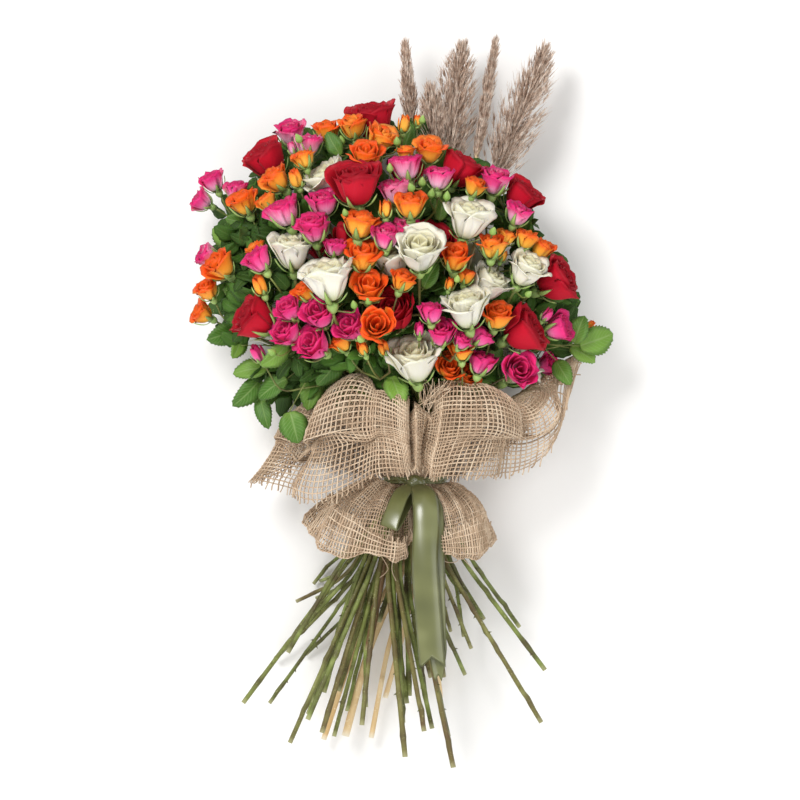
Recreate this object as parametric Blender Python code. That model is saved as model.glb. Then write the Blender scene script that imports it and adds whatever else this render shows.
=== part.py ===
"""A flower bouquet that lies on its back: roses, spray roses, reed plumes, a burlap wrap and a satin ribbon.

The stems run along Y, the blooms are at +Y and the cut ends at -Y, and +Z faces the viewer. The origin is
on the surface that the bouquet lies on, right under the tie. Lengths here are in millimetres, and meshes
are made in metres.
"""
import math

import bmesh
import bpy
import numpy as np
from mathutils import Matrix, Vector

MM = 0.001
SEED = 7
SPREAD_ROUNDS = 420  # of pushing the blooms apart
LAST_ROUNDS = 140  # of those, the ones in which nothing pulls a bloom back to its place in the photograph
PULL_BACK = 0.03
CLEAR_ROUNDS = 400  # of pushing the stems apart
SPARE_BEND = 0.5  # a point that bends its line less than this is left out

# Driving sizes
PHOTO_SCALE = 1.15  # millimetres for one pixel of the photograph
TIE_PIXEL = (415, 480)  # the ribbon's knot in the photograph
TIE_HEIGHT = 80.0  # the bundle's axis above the surface
GOLDEN_ANGLE = math.radians(137.5)
GAP = 0.3  # left between pieces that touch
BUD_RADIUS = 10.0  # a bloom up to this size is still closed

FOCUS = np.array((0.0, 40.0, TIE_HEIGHT))  # the blooms face away from here
SPIRAL_TURN = math.radians(70)  # round the bundle, from a bloom to its slot and on to its cut end

# The dome of blooms, half an ellipsoid that faces the viewer
DOME_CENTRE = (-30.0, 230.0, 80.0)
DOME_ACROSS, DOME_UP, DOME_DOWN, DOME_FRONT = 222.0, 190.0, 150.0, 145.0
LAYER_DEPTH = 15.0

# Blooms: pixel across, pixel down, radius, and layers outside (+) or inside (-) the dome
RED_ROSES = (
    (267, 160, 26, 0), (372, 120, 27, -0.6), (355, 197, 30, 0), (459, 173, 25, 0), (519, 199, 22, 0),
    (345, 240, 18, -1), (440, 243, 24, -1), (257, 320, 27, 0), (397, 315, 26, -0.3), (555, 281, 27, 0),
    (522, 334, 28, 0),
)
WHITE_ROSES = (
    (325, 180, 26, -0.5), (288, 255, 25, -0.5), (331, 285, 29, 0), (416, 257, 27, 0), (393, 262, 22, -1),
    (466, 227, 26, 0), (465, 306, 26, 0), (494, 289, 23, -0.5), (520, 272, 23, 0), (417, 357, 29, 0),
    (517, 367, 25, -0.7),
)
ORANGE_SPRAYS = (
    ((327, 133, 14, -0.5), (354, 129, 15, 0), (379, 143, 16, 0), (367, 160, 18, 0)),
    ((404, 126, 11, 0), (417, 122, 7, 0), (408, 157, 10, 0), (431, 156, 16, 0), (472, 188, 12, 0)),
    ((311, 168, 12, 0), (295, 181, 12, 0), (279, 186, 16, 0), (270, 201, 11, -0.5), (245, 205, 16, 0)),
    ((388, 210, 11, 0), (408, 215, 16, 0), (365, 223, 18, 0)),
    ((259, 252, 11, -0.6), (222, 268, 17, 0), (209, 291, 13, 0), (203, 314, 13, 0), (262, 285, 13, 0)),
    ((363, 260, 18, 0), (368, 290, 18, 0), (382, 323, 18, 0), (307, 297, 12, 0)),
    ((363, 349, 10, 0), (387, 350, 10, 0), (342, 344, 12, -0.8)),
    ((408, 279, 13, 0), (454, 263, 17, 0), (452, 291, 8, 0), (468, 278, 10, -0.8)),
    ((490, 247, 15, 0), (507, 241, 10, -0.3), (522, 243, 12, 0), (538, 250, 13, 0), (502, 258, 8, -0.7)),
    ((492, 318, 16, 0), (461, 350, 13, 0), (446, 368, 15, 0), (468, 374, 14, 0)),
    ((589, 326, 8, 0),),
)
PINK_SPRAYS = (
    ((291, 134, 16, 0), (309, 148, 14, 0), (293, 150, 8, 0)),
    ((213, 183, 13, 0), (203, 200, 12, 0), (238, 192, 12, -0.3)),
    ((286, 216, 18, 0), (327, 207, 16, 0), (316, 228, 18, 0)),
    ((405, 174, 16, 0), (394, 194, 16, 0), (440, 181, 15, 0)),
    ((493, 184, 17, 0), (517, 215, 14, 0)),
    ((384, 239, 15, 0), (411, 234, 15, -0.2), (336, 253, 11, 0)),
    ((267, 263, 15, 0), (209, 257, 13, 0)),
    ((325, 308, 18, 0), (292, 312, 14, 0), (287, 331, 16, 0), (314, 324, 9, -0.9)),
    ((317, 344, 19, 0), (353, 329, 17, 0), (259, 354, 12, 0)),
    ((432, 319, 13, 0), (441, 334, 15, 0), (456, 337, 10, 0), (414, 326, 9, -0.5)),
    ((479, 336, 13, 0), (478, 366, 15, 0), (510, 358, 18, 0)),
    ((556, 328, 16, 0), (543, 314, 9, -0.9), (548, 366, 13, 0.6)),
)
# Roses of the hidden side: pixel across, pixel down, radius, height of the centre, colour
BACK_ROSES = (
    (330, 250, 25, 22.5, "red"), (482, 262, 25, 22.5, "white"), (408, 168, 24, 34.0, "red"),
    (272, 330, 24, 36.0, "white"),
)

# Stems that the photograph shows below the wrap: where they leave it, where they end, height and radius there
SHOWN_STEMS = (
    (326, 563, 296, 602, 52, 2.6), (334, 562, 243, 703, 74, 3.4), (345, 562, 288, 652, 96, 3.2),
    (350, 565, 269, 704, 58, 2.8), (353, 566, 290, 742, 100, 3.4), (357, 566, 308, 718, 116, 3.6),
    (367, 575, 322, 732, 98, 3.8), (362, 566, 362, 723, 128, 3.6), (376, 575, 334, 736, 84, 3.2),
    (385, 575, 368, 650, 100, 4.0), (391, 565, 405, 755, 124, 4.4), (397, 568, 403, 722, 100, 3.4),
    (405, 565, 424, 730, 110, 3.6), (410, 570, 432, 728, 92, 3.4), (402, 580, 428, 712, 74, 3.0),
    (420, 575, 453, 766, 116, 3.8), (438, 565, 465, 675, 70, 3.0), (446, 572, 471, 648, 92, 2.8),
    (446, 562, 541, 722, 90, 3.4), (452, 566, 484, 620, 56, 3.2), (464, 562, 545, 670, 80, 3.4),
    (440, 575, 444, 678, 50, 3.0), (341, 565, 309, 616, 44, 2.8),
)
STEM_RADIUS = 3.0
FOOT_SHARE = 0.95  # of a rose's radius, from its middle down to its stem
CUP_SHARE = 0.27  # of a rose's radius, where its stem widens to carry it
CUP_LENGTH = 10.0  # of the straight end of every stem
JOINT_DEPTH, JOINT_SPREAD = 48.0, 0.75  # from a spray's middle to its joint, and more for each mm of its reach
STEM_SIDES = 4
NECK_RADIUS = 2.8
PEDICEL_RADIUS = 1.6
PEDICEL_SIDES = 3
# Slots of the bundle where it is tied: how many round each ring, and the ring's radius
SLOT_RINGS = ((1, 0.0), (6, 6.2), (12, 12.4), (18, 18.6), (12, 23.4))
OUTER_SPAN = math.radians(120)  # the last ring leaves its back to the canes
CANE_RING = 25.6
CANE_ANGLES = (210, 195, 180, 165, 150)

# Reed plumes: pixel of the tip, pixel of the foot, height of tip and foot, half width, branches; then the
# cane's cut end below, its height and radius there
PLUMES = (
    (405, 40, 411, 130, 66, 72, 9, 10, 323, 742, 20, 3.4),
    (430, 84, 436, 165, 84, 80, 17, 13, 345, 738, 26, 4.6),
    (463, 40, 447, 165, 60, 70, 26, 19, 371, 740, 22, 3.2),
    (497, 37, 481, 130, 84, 78, 10, 10, 385, 700, 14, 3.2),
    (549, 42, 496, 178, 64, 70, 27, 21, 441, 700, 18, 3.0),
)
CANE_RADIUS = 2.9
CANE_SIDES = 5
NEEDLE_RADIUS = 1.6

# Leaves that stand out in the photograph: pixel, height, length, width, way they point in the picture
SHOWN_LEAVES = (
    (225, 238, 100, 42, 26, 150), (240, 256, 105, 42, 26, 160), (262, 215, 112, 36, 22, 120),
    (222, 335, 90, 38, 26, 200), (240, 345, 80, 32, 22, 250), (250, 370, 108, 40, 24, 190),
    (248, 393, 98, 46, 26, 225), (264, 412, 92, 40, 20, 285), (272, 388, 116, 42, 26, 215),
    (295, 427, 150, 38, 34, 285), (597, 340, 100, 44, 34, 20), (578, 330, 112, 34, 26, 70),
    (583, 354, 96, 34, 26, 330), (562, 372, 118, 36, 22, 300), (515, 292, 165, 34, 22, 45),
    (442, 213, 185, 34, 22, 80), (413, 140, 130, 34, 20, 70), (330, 145, 120, 32, 20, 120),
    (430, 277, 205, 34, 22, 60), (396, 385, 168, 42, 28, 290), (374, 366, 165, 44, 26, 250),
    (490, 352, 172, 34, 22, 270), (478, 388, 120, 44, 22, 200), (312, 390, 128, 48, 28, 260),
    (342, 398, 104, 46, 26, 275), (288, 352, 140, 40, 26, 220), (330, 372, 155, 42, 26, 230),
    (238, 292, 128, 34, 24, 180), (240, 222, 116, 32, 22, 170), (300, 345, 60, 46, 28, 230),
)
FILL_LEAVES = 17  # more leaves, in the gaps that the blooms leave on all sides
LEAF_TRIES = 900
LEAF_THICK = 1.2

# Burlap, one rib for each angle round the bundle (0 faces the viewer, 90 is right): the collar's points from the
# tie over its crest to its hem, then the skirt's points to its hem, each as distance from the axis and Y
WAIST_RADIUS = 33.0
BURLAP_THICK = 2.0
BURLAP_COLUMNS = 28
BURLAP_RIBS = (
    (0, ((46, 34), (62, 62), (76, 76), (88, 66), (88, 40), (76, 16)), ((44, -28), (48, -52), (50, -70))),
    (15, ((46, 36), (64, 68), (80, 88), (94, 78), (96, 48), (86, 14)), ((45, -28), (51, -56), (55, -82))),
    (28, ((46, 38), (64, 76), (84, 102), (98, 92), (100, 52), (86, 8)), ((50, -22), (68, -50), (78, -90))),
    (42, ((46, 38), (78, 78), (104, 100), (122, 88), (126, 50), (104, 2)), ((54, -18), (80, -46), (90, -94))),
    (56, ((48, 36), (84, 78), (118, 100), (138, 86), (140, 46), (120, 0)), ((55, -16), (84, -42), (94, -90))),
    (70, ((50, 34), (88, 72), (128, 94), (148, 80), (150, 46), (134, 10)), ((53, -16), (80, -40), (92, -80))),
    (80, ((50, 34), (90, 68), (132, 92), (156, 92), (164, 76), (158, 52)), ((52, -18), (74, -42), (88, -76))),
    (89, ((50, 34), (88, 64), (124, 88), (154, 110), (180, 132), (200, 147)), ((52, -20), (72, -44), (86, -78))),
    (102, ((48, 34), (80, 66), (108, 88), (130, 98), (148, 100), (160, 96)), ((50, -24), (70, -50), (85, -82))),
    (122, ((46, 34), (70, 66), (90, 84), (108, 80), (122, 60), (132, 34)), ((50, -28), (72, -56), (92, -86))),
    (145, ((44, 34), (60, 64), (76, 82), (86, 76), (93, 48), (94, 4)), ((48, -30), (72, -60), (90, -88))),
    (165, ((43, 34), (56, 62), (70, 80), (77, 74), (80, 44), (80, -8)), ((46, -30), (66, -60), (78, -88))),
    (180, ((43, 34), (56, 62), (69, 80), (76, 74), (79, 44), (79, -10)), ((46, -30), (66, -60), (77, -88))),
    (195, ((43, 34), (56, 62), (70, 80), (77, 74), (80, 44), (80, -8)), ((46, -30), (66, -60), (78, -88))),
    (215, ((44, 34), (60, 64), (76, 82), (86, 76), (93, 48), (94, 4)), ((48, -28), (72, -56), (92, -86))),
    (238, ((46, 32), (72, 64), (92, 84), (112, 78), (130, 50), (140, 14)), ((50, -22), (80, -42), (102, -66))),
    (260, ((48, 30), (78, 62), (104, 82), (128, 70), (150, 34), (164, -6)), ((54, -16), (88, -30), (114, -46))),
    (280, ((48, 30), (80, 62), (104, 84), (130, 70), (154, 28), (170, -16)), ((60, -15), (98, -32), (124, -54))),
    (296, ((48, 34), (80, 74), (100, 96), (122, 82), (142, 34), (158, -22)), ((64, -18), (106, -40), (128, -76))),
    (310, ((46, 38), (78, 86), (98, 112), (118, 98), (134, 44), (142, -24)), ((62, -22), (98, -50), (118, -90))),
    (324, ((46, 38), (74, 88), (95, 114), (114, 100), (126, 46), (124, -8)), ((56, -25), (80, -55), (96, -94))),
    (342, ((46, 36), (66, 72), (84, 92), (100, 80), (106, 46), (98, 8)), ((46, -28), (56, -56), (64, -96))),
)
SHEET_STEPS = 1  # faces between two neighbouring points of a rib
PRESSED_BELOW = 1.9  # what hangs lower than this lies pressed flat on the surface

# Ribbon
RIBBON_WIDE = 30.0
RIBBON_THICK = 1.0
BAND_INNER = WAIST_RADIUS + BURLAP_THICK / 2 + 0.4
BAND_HALF = 7.0
BAND_SIDES = 24
KNOT_SIZE = (15.0, 11.0, 8.0)
KNOT_PLACE = (2.0, -2.0, TIE_HEIGHT + BAND_INNER + KNOT_SIZE[2])
# Each path: the middle of the ribbon as pixel across, pixel down, height; then its width's way in the picture
TAIL_FRONT = ((417, 484, 126), (424, 496, 146), (426, 522, 158), (425, 570, 164), (432, 660, 158))
TAIL_BACK = ((417, 484, 124), (430, 502, 137), (434, 530, 150), (435, 590, 157), (438, 676, 150))
LOOP = ((412, 484, 124), (402, 492, 142), (394, 510, 156), (389, 526, 160), (396, 518, 148), (406, 498, 132),
        (413, 485, 122))
LOOP_WAY = (0.83, -0.35, 0.43)

TWINE_RING_RADIUS, TWINE_RADIUS = 30.1, 1.2
CORE_RADIUS, CORE_HALF = 21.9, 6.0

COLOURS = {
    "red": ((0.45, 0.004, 0.012), 0.45), "white": ((0.86, 0.82, 0.66), 0.5), "orange": ((0.95, 0.27, 0.02), 0.5),
    "pink": ((0.86, 0.06, 0.22), 0.5), "green": ((0.09, 0.2, 0.03), 0.55), "reed": ((0.42, 0.3, 0.2), 0.85),
    "burlap": ((0.47, 0.3, 0.16), 0.95), "ribbon": ((0.14, 0.17, 0.05), 0.35), "twine": ((0.5, 0.36, 0.2), 0.9),
}


# Small vector helpers


def unit(v):
    return v / max(float(np.linalg.norm(v)), 1e-9)


def photo_place(px, py, height=0.0):
    """The place in millimetres of a pixel of the photograph, at a height above the surface."""
    return np.array(((px - TIE_PIXEL[0]) * PHOTO_SCALE, (TIE_PIXEL[1] - py) * PHOTO_SCALE, float(height)))


def axis_frame(axis, turn=0.0):
    """Two directions across an axis, turned about it."""
    side = unit(np.cross(axis, (0.0, 0.0, 1.0) if abs(axis[2]) < 0.9 else (0.0, 1.0, 0.0)))
    other = np.cross(axis, side)
    return (side * math.cos(turn) + other * math.sin(turn), other * math.cos(turn) - side * math.sin(turn))


def bezier(p0, p1, p2, p3, count):
    t = np.linspace(0, 1, count)[:, None]
    return (1 - t) ** 3 * p0 + 3 * t * (1 - t) ** 2 * p1 + 3 * t**2 * (1 - t) * p2 + t**3 * p3


# Layout: where every bloom, stem and leaf goes


def dome_height(x, y):
    half_y = DOME_UP if y > DOME_CENTRE[1] else DOME_DOWN
    left = 1 - ((x - DOME_CENTRE[0]) / DOME_ACROSS) ** 2 - ((y - DOME_CENTRE[1]) / half_y) ** 2
    return DOME_CENTRE[2] + DOME_FRONT * math.sqrt(max(left, 0.0))


def list_blooms():
    """Every bloom with its node, place, radius and colour."""
    blooms = []

    def add(node, row, colour, height=None):
        px, py, radius, layer = row
        place = photo_place(px, py)
        place[2] = dome_height(place[0], place[1]) + layer * LAYER_DEPTH if height is None else height
        blooms.append({"node": node, "place": place, "radius": float(radius), "colour": colour,
                       "fixed": height is not None})

    for i, row in enumerate(RED_ROSES):
        add(f"rose_red_{i + 1:02d}", row, "red")
    for i, row in enumerate(WHITE_ROSES):
        add(f"rose_white_{i + 1:02d}", row, "white")
    for i, (px, py, radius, height, colour) in enumerate(BACK_ROSES):
        add(f"rose_back_{i + 1}", (px, py, radius, 0), colour, height)
    for colour, sprays in (("orange", ORANGE_SPRAYS), ("pink", PINK_SPRAYS)):
        for i, rows in enumerate(sprays):
            for row in rows:
                add(f"spray_{colour}_{i + 1:02d}", row, colour)
    return blooms


def spread_blooms(blooms, solid_points):
    """Moves the blooms apart until none touches another or the wrap, mostly in depth."""
    place = np.array([b["place"] for b in blooms])
    radius = np.array([b["radius"] for b in blooms])
    loose = np.array([0.0 if b["fixed"] else 1.0 for b in blooms])
    target = place.copy()
    sideways = np.array((0.45, 0.45, 1.0))
    roses = np.array([k for k, b in enumerate(blooms) if b["node"].startswith("rose")])
    for step in range(SPREAD_ROUNDS):
        outward = place[roses] - FOCUS
        outward /= np.linalg.norm(outward, axis=1)[:, None]
        for depth in (3.0, 12.0):
            cups = place[roses] - outward * (radius[roses] * FOOT_SHARE + depth)[:, None]
            gap = place[:, None] - cups[None]
            far = np.linalg.norm(gap, axis=2)
            far[roses, np.arange(len(roses))] = 1e6
            need = np.maximum(radius[:, None] + radius[roses][None] * CUP_SHARE + 1.5 - far, 0)
            place += (gap / far[..., None] * need[..., None]).sum(1) * loose[:, None] * 0.6
        gap = place[:, None] - place[None]
        far = np.linalg.norm(gap, axis=2)
        np.fill_diagonal(far, 1e6)
        need = np.maximum(radius[:, None] + radius[None] + 2 * GAP - far, 0)
        way = gap * sideways
        way[..., 2] += np.where(np.abs(gap[..., 2]) < 2, np.sign(radius[:, None] - radius[None]) * 2.0, 0)
        way /= np.maximum(np.linalg.norm(way, axis=2), 1e-6)[..., None]
        share = loose[:, None] / np.maximum(loose[:, None] + loose[None], 1)
        place += (way * (need * share)[..., None]).sum(1) * 0.6
        off = place[:, None] - solid_points[None]
        apart = np.linalg.norm(off, axis=2)
        near = apart.argmin(1)
        rows = np.arange(len(place))
        short = np.maximum(radius + 3.0 - apart[rows, near], 0) * loose
        place += off[rows, near] / apart[rows, near][:, None] * short[:, None]
        if step < SPREAD_ROUNDS - LAST_ROUNDS:
            place += (target - place) * PULL_BACK * loose[:, None]
        place[:, 2] = np.where(loose > 0, np.maximum(place[:, 2], radius + 1.0), place[:, 2])
    for bloom, where in zip(blooms, place):
        bloom["place"] = where
        bloom["axis"] = unit(where - FOCUS)


def ring_match(wanted, offered):
    """For each wanted angle one of the offered angles, both taken in order, at the shift that fits best."""
    first, second = np.argsort(wanted), np.argsort(offered)
    best = min(
        range(len(offered)),
        key=lambda k: np.abs(np.angle(np.exp(1j * (wanted[first] - offered[np.roll(second, k)])))).sum(),
    )
    match = np.empty(len(wanted), int)
    match[first] = np.roll(second, best)
    return match


def slot_places():
    """The slots of the bundle as lists for each ring, each slot as (x, height)."""
    rings = []
    for i, (count, radius) in enumerate(SLOT_RINGS):
        if i < len(SLOT_RINGS) - 1:
            angles = np.arange(count) * 2 * math.pi / count + i * 0.3
        else:
            angles = np.linspace(-OUTER_SPAN, OUTER_SPAN, count)
        rings.append(np.stack((radius * np.sin(angles), TIE_HEIGHT + radius * np.cos(angles)), 1))
    return rings


def match_slots(offsets, rings, turn):
    """Gives each stem a slot: the widest stems go to the outer rings, in order round each ring."""
    order = np.argsort(-np.linalg.norm(offsets, axis=1), kind="stable")
    slots = np.zeros((len(offsets), 2))
    index = np.zeros(len(offsets), int)
    done = 0
    first = sum(len(r) for r in rings)
    for ring in reversed(rings):
        first -= len(ring)
        who = order[done:done + len(ring)]
        done += len(ring)
        mine = np.arctan2(offsets[who, 0], offsets[who, 1]) + turn
        its = np.arctan2(ring[:, 0], ring[:, 1] - TIE_HEIGHT)
        match = ring_match(mine, its)
        slots[who] = ring[match]
        index[who] = first + match
    return slots, index


def lower_ends(count, rng):
    """Where the stems leave the skirt and where they end: the shown ones, then others that lie behind them."""
    ends = []
    for px0, py0, px1, py1, height, radius in SHOWN_STEMS:
        ends.append((photo_place(px0, py0), photo_place(px1, py1, height), radius))
    shown = len(ends)
    while len(ends) < count:
        leave, end, radius = ends[(len(ends) * 5) % shown]
        end = end * (1 - rng.uniform(0.06, 0.22)) + (rng.uniform(-7, 7), 0, 0)
        end[2] = max(9.0, ends[(len(ends) * 5) % shown][1][2] - rng.uniform(34, 62))
        ends.append((leave + (rng.uniform(-5, 5), 0, 0), end, radius * 0.9))
    for leave, end, _ in ends:
        leave[2] = TIE_HEIGHT + (end[2] - TIE_HEIGHT) * min(0.75, leave[1] / end[1])
    return ends


def choose_joint(middle, axis, depth, mine, blooms, joints, solid_points):
    """Where a spray's pedicels meet: the place near the usual one from which they reach their blooms freely."""
    others = [b for b in blooms if b["node"] != mine[0]["node"]]
    feet = [b["foot"] - b["axis"] * down for b in others if b["node"].startswith("rose") for down in (0, 7, 14)]
    spots = np.array([b["place"] for b in others] + feet + joints)
    keep_off = np.array([b["radius"] + 5 for b in others] + [12.0] * len(feet) + [14.0] * len(joints))
    side, other = axis_frame(axis)
    best, least = None, 1e9
    for down in (1.0, 0.85, 1.2, 0.7, 1.4):
        for across in (0.0, 12.0, 24.0):
            for turn in range(8 if across else 1):
                angle = turn * math.pi / 4
                joint = middle - axis * depth * down
                joint = joint + (side * math.cos(angle) + other * math.sin(angle)) * across
                ends = [b["place"] - b["axis"] * (b["radius"] + 1) for b in mine] + [joint - axis * 14]
                run = np.concatenate([segment_points(joint, end, 4.0)[:-1] for end in ends])
                far = np.linalg.norm(run[:, None] - spots[None], axis=2)
                cost = np.maximum(keep_off[None] - far, 0).max(1).sum()
                cost += np.maximum(9 - np.linalg.norm(run[:, None] - solid_points[None], axis=2).min(1), 0).sum()
                cost += abs(down - 1) * 20 + across * 0.5
                # a pedicel that turns back would run along its own stem
                cost += sum(max(0.6 - np.dot(unit(end - joint), axis), 0) * 60 for end in ends[:-1])
                if cost < least:
                    best, least = joint, cost
    return best


def lay_out_stems(blooms, solid_points, rng):
    """The lines that everything hangs on: rose stems, spray stems and the pedicels inside each spray."""
    heads = []  # what each stem carries: node, where its line ends, the way it points
    pedicels, joints = [], []
    for bloom in blooms:
        bloom["foot"] = bloom["place"] - bloom["axis"] * bloom["radius"] * FOOT_SHARE
    for node in dict.fromkeys(b["node"] for b in blooms):
        mine = [b for b in blooms if b["node"] == node]
        if node.startswith("rose"):
            heads.append((node, mine[0]["foot"], mine[0]["axis"]))
            continue
        middle = np.mean([b["place"] for b in mine], 0)
        axis = unit(middle - FOCUS)
        spread = max(np.linalg.norm(b["place"] - middle) for b in mine)
        depth = JOINT_DEPTH + JOINT_SPREAD * spread
        joint = choose_joint(middle, axis, depth, mine, blooms, joints, solid_points)
        joints.append(joint)
        heads.append((node, joint - axis * CUP_LENGTH, axis))
        for bloom in mine:
            foot = bloom["place"] - bloom["axis"] * (bloom["radius"] + 1.0)
            reach = np.linalg.norm(foot - joint)
            line = bezier(joint, joint + axis * reach * 0.4, foot - bloom["axis"] * reach * 0.35, foot, 3)
            pedicels.append({"node": node, "owner": node, "points": line, "free": np.array((0.0, 1.0, 0.0)),
                             "radius": PEDICEL_RADIUS + 0.7, "bloom": bloom})
    ends = lower_ends(len(heads), rng)
    rings = slot_places()
    up = np.array([((h[1][0]) / h[1][1], (h[1][2] - TIE_HEIGHT) / h[1][1]) for h in heads])
    down = np.array([(e[1][0] / -e[1][1], (e[1][2] - TIE_HEIGHT) / -e[1][1]) for e in ends])
    slots, slot_of_head = match_slots(up, rings, SPIRAL_TURN)
    _, slot_of_end = match_slots(down, rings, -SPIRAL_TURN)
    end_of_slot = {slot: k for k, slot in enumerate(slot_of_end)}
    stems = []
    for (node, top, axis), slot, index in zip(heads, slots, slot_of_head):
        leave, end, radius = ends[end_of_slot[index]]
        waist = np.array((slot[0], 0.0, slot[1]))
        way = unit(unit(top - waist) + unit(waist - leave) + (0.0, 0.7, 0.0))
        cup = top - axis * CUP_LENGTH
        reach = np.linalg.norm(cup - waist)
        upper = bezier(waist, waist + way * reach * 0.35, cup - axis * reach * 0.3, cup, 4)
        bend = np.array((rng.uniform(-4, 4), 0, rng.uniform(-3, 3)))
        points = np.array((end, leave + bend, *upper, top))
        stems.append({"node": "stems", "owner": node, "points": points, "axis": axis, "size": radius,
                      "free": np.array((0, 0.6, 0, 1, 1, 0, 0.0)), "radius": STEM_RADIUS + 0.8})
    return stems, pedicels


def lay_out_canes():
    """The reed plumes' lines: cut end, below the wrap, tie, up to the foot and the tip."""
    canes = []
    for i, (row, degrees) in enumerate(zip(PLUMES, CANE_ANGLES)):
        tip_x, tip_y, foot_x, foot_y, tip_z, foot_z, wide, branches, end_x, end_y, end_z, radius = row
        tip, foot = photo_place(tip_x, tip_y, tip_z), photo_place(foot_x, foot_y, foot_z)
        angle = math.radians(degrees)
        waist = np.array((CANE_RING * math.sin(angle), 0.0, TIE_HEIGHT + CANE_RING * math.cos(angle)))
        end = photo_place(end_x, end_y, end_z)
        rise, drop = np.linalg.norm(foot - waist), np.linalg.norm(end - waist)
        stalk = unit(tip - foot)
        way = unit(unit(foot - waist) + unit(waist - end))
        upper = bezier(waist, waist + way * rise * 0.3, foot - stalk * rise * 0.3, foot, 4)
        lower = bezier(end, end + unit(waist - end) * drop * 0.3, waist - way * drop * 0.25, waist, 4)
        canes.append({"node": f"cane_{i}", "owner": f"cane_{i}", "points": np.array((*lower[:3], *upper, tip)),
                      "free": np.array((0, 1, 1, 0, 1, 1, 0, 0.0)), "radius": CANE_RADIUS + 0.8,
                      "wide": float(wide), "branches": branches, "size": radius})
    return canes


def nearest_shares(a, b, c, d):
    """Where the straight stretches a to b and c to d come nearest each other, as shares of each."""
    first, second, between = b - a, d - c, a - c
    aa, ab, bb = (first * first).sum(1), (first * second).sum(1), (second * second).sum(1)
    aw, bw = (first * between).sum(1), (second * between).sum(1)
    share = np.clip((ab * bw - bb * aw) / np.maximum(aa * bb - ab * ab, 1e-6), 0, 1)
    other = np.clip((ab * share + bw) / np.maximum(bb, 1e-6), 0, 1)
    return np.clip((ab * other - aw) / np.maximum(aa, 1e-6), 0, 1), other


def clear_lines(lines, blooms, solid_points):
    """Pushes stems, pedicels and canes aside until they pass clear of each other, the blooms and the wrap."""
    names = {}

    def number(key):
        return names.setdefault(key, len(names))

    points = np.concatenate([line["points"] for line in lines])
    free = np.concatenate([line["free"] for line in lines])
    starts = np.cumsum([0] + [len(line["points"]) for line in lines])
    lower = np.concatenate([np.arange(a, b - 1) for a, b in zip(starts[:-1], starts[1:])])
    line_of = np.repeat(np.arange(len(lines)), np.diff(starts) - 1)
    radius = np.array([line["radius"] for line in lines])[line_of]
    owner = np.array([number(line["owner"]) for line in lines])[line_of]
    node = np.array([number(line["node"]) for line in lines])[line_of]
    roses = [b for b in blooms if b["node"].startswith("rose")]
    solid = np.concatenate((np.array([b["place"] for b in blooms] + [b["foot"] for b in roses]), solid_points))
    solid_radius = np.concatenate(([b["radius"] + 0.9 for b in blooms],
                                   [b["radius"] * CUP_SHARE + 1.0 for b in roses],
                                   np.full(len(solid_points), 3.0)))
    solid_owner = np.concatenate(([number(b["node"]) for b in blooms + roses], np.full(len(solid_points), -1)))
    pairs = [(i, j) for i in range(len(lower)) for j in range(i + 1, len(lower)) if owner[i] != owner[j]]
    one, two = np.array(pairs).T
    line_need = radius[one] + radius[two] - np.where(node[one] == node[two], 1.4, 0.0)
    mine, its = np.nonzero(owner[:, None] != solid_owner[None])
    solid_need = radius[mine] + solid_radius[its]
    for step in range(CLEAR_ROUNDS):
        a, b = points[lower], points[lower + 1]
        if step % 20 == 0:
            middle, half = (a + b) / 2, np.linalg.norm(b - a, axis=1) / 2
            near = np.linalg.norm(middle[one] - middle[two], axis=1) < half[one] + half[two] + line_need + 12
            near_one, near_two, near_line = one[near], two[near], line_need[near]
            near = np.linalg.norm(middle[mine] - solid[its], axis=1) < half[mine] + solid_need + 12
            near_mine, near_its, near_solid = mine[near], its[near], solid_need[near]
        share, other = nearest_shares(a[near_one], b[near_one], a[near_two], b[near_two])
        gap = a[near_one] + (b - a)[near_one] * share[:, None]
        gap -= a[near_two] + (b - a)[near_two] * other[:, None]
        contacts = []
        far = np.maximum(np.linalg.norm(gap, axis=1), 1e-6)
        hit = far < near_line
        push = gap[hit] / far[hit][:, None] * ((near_line - far)[hit] / 2)[:, None]
        contacts.append((near_one[hit], share[hit], push))
        contacts.append((near_two[hit], other[hit], -push))
        run = (b - a)[near_mine]
        share = ((solid[near_its] - a[near_mine]) * run).sum(1) / np.maximum((run * run).sum(1), 1e-6)
        share = np.clip(share, 0, 1)
        gap = a[near_mine] + run * share[:, None] - solid[near_its]
        far = np.maximum(np.linalg.norm(gap, axis=1), 1e-6)
        hit = far < near_solid
        push = gap[hit] / far[hit][:, None] * (near_solid - far)[hit][:, None]
        contacts.append((near_mine[hit], share[hit], push))
        move, weight = np.zeros_like(points), np.zeros(len(points))
        for stretch, part, shift in contacts:
            for point, lean in ((lower[stretch], 1 - part), (lower[stretch] + 1, part)):
                np.add.at(move, point, shift * lean[:, None] * 1.6)
                np.add.at(weight, point, lean)
        points += move / np.maximum(weight, 1.0)[:, None] * free[:, None]
        points[:, 2] = np.where(free > 0, np.maximum(points[:, 2], 6.0), points[:, 2])
    for line, a, b in zip(lines, starts[:-1], starts[1:]):
        line["points"] = points[a:b]


def leaf_points(leaf):
    """Points all over a leaf, to test whether it is clear."""
    points = []
    for along in np.linspace(-0.46, 0.46, 8):
        half = 0.5 * math.cos(along * 2.6) ** 0.7
        for across in (-0.9, -0.45, 0.0, 0.45, 0.9):
            points.append(leaf_place(leaf, along, half * across))
    return np.array(points)


def leaf_place(leaf, along, across, lift=0.0):
    """A place on a leaf, in lengths and widths from its middle: it arches down and folds up at its rib."""
    arch = -0.1 * leaf["length"] * (2 * along) ** 2 + 0.22 * abs(across) * leaf["width"]
    return (leaf["middle"] + leaf["way"] * along * leaf["length"] + leaf["side"] * across * leaf["width"]
            + leaf["normal"] * (arch + lift))


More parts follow.
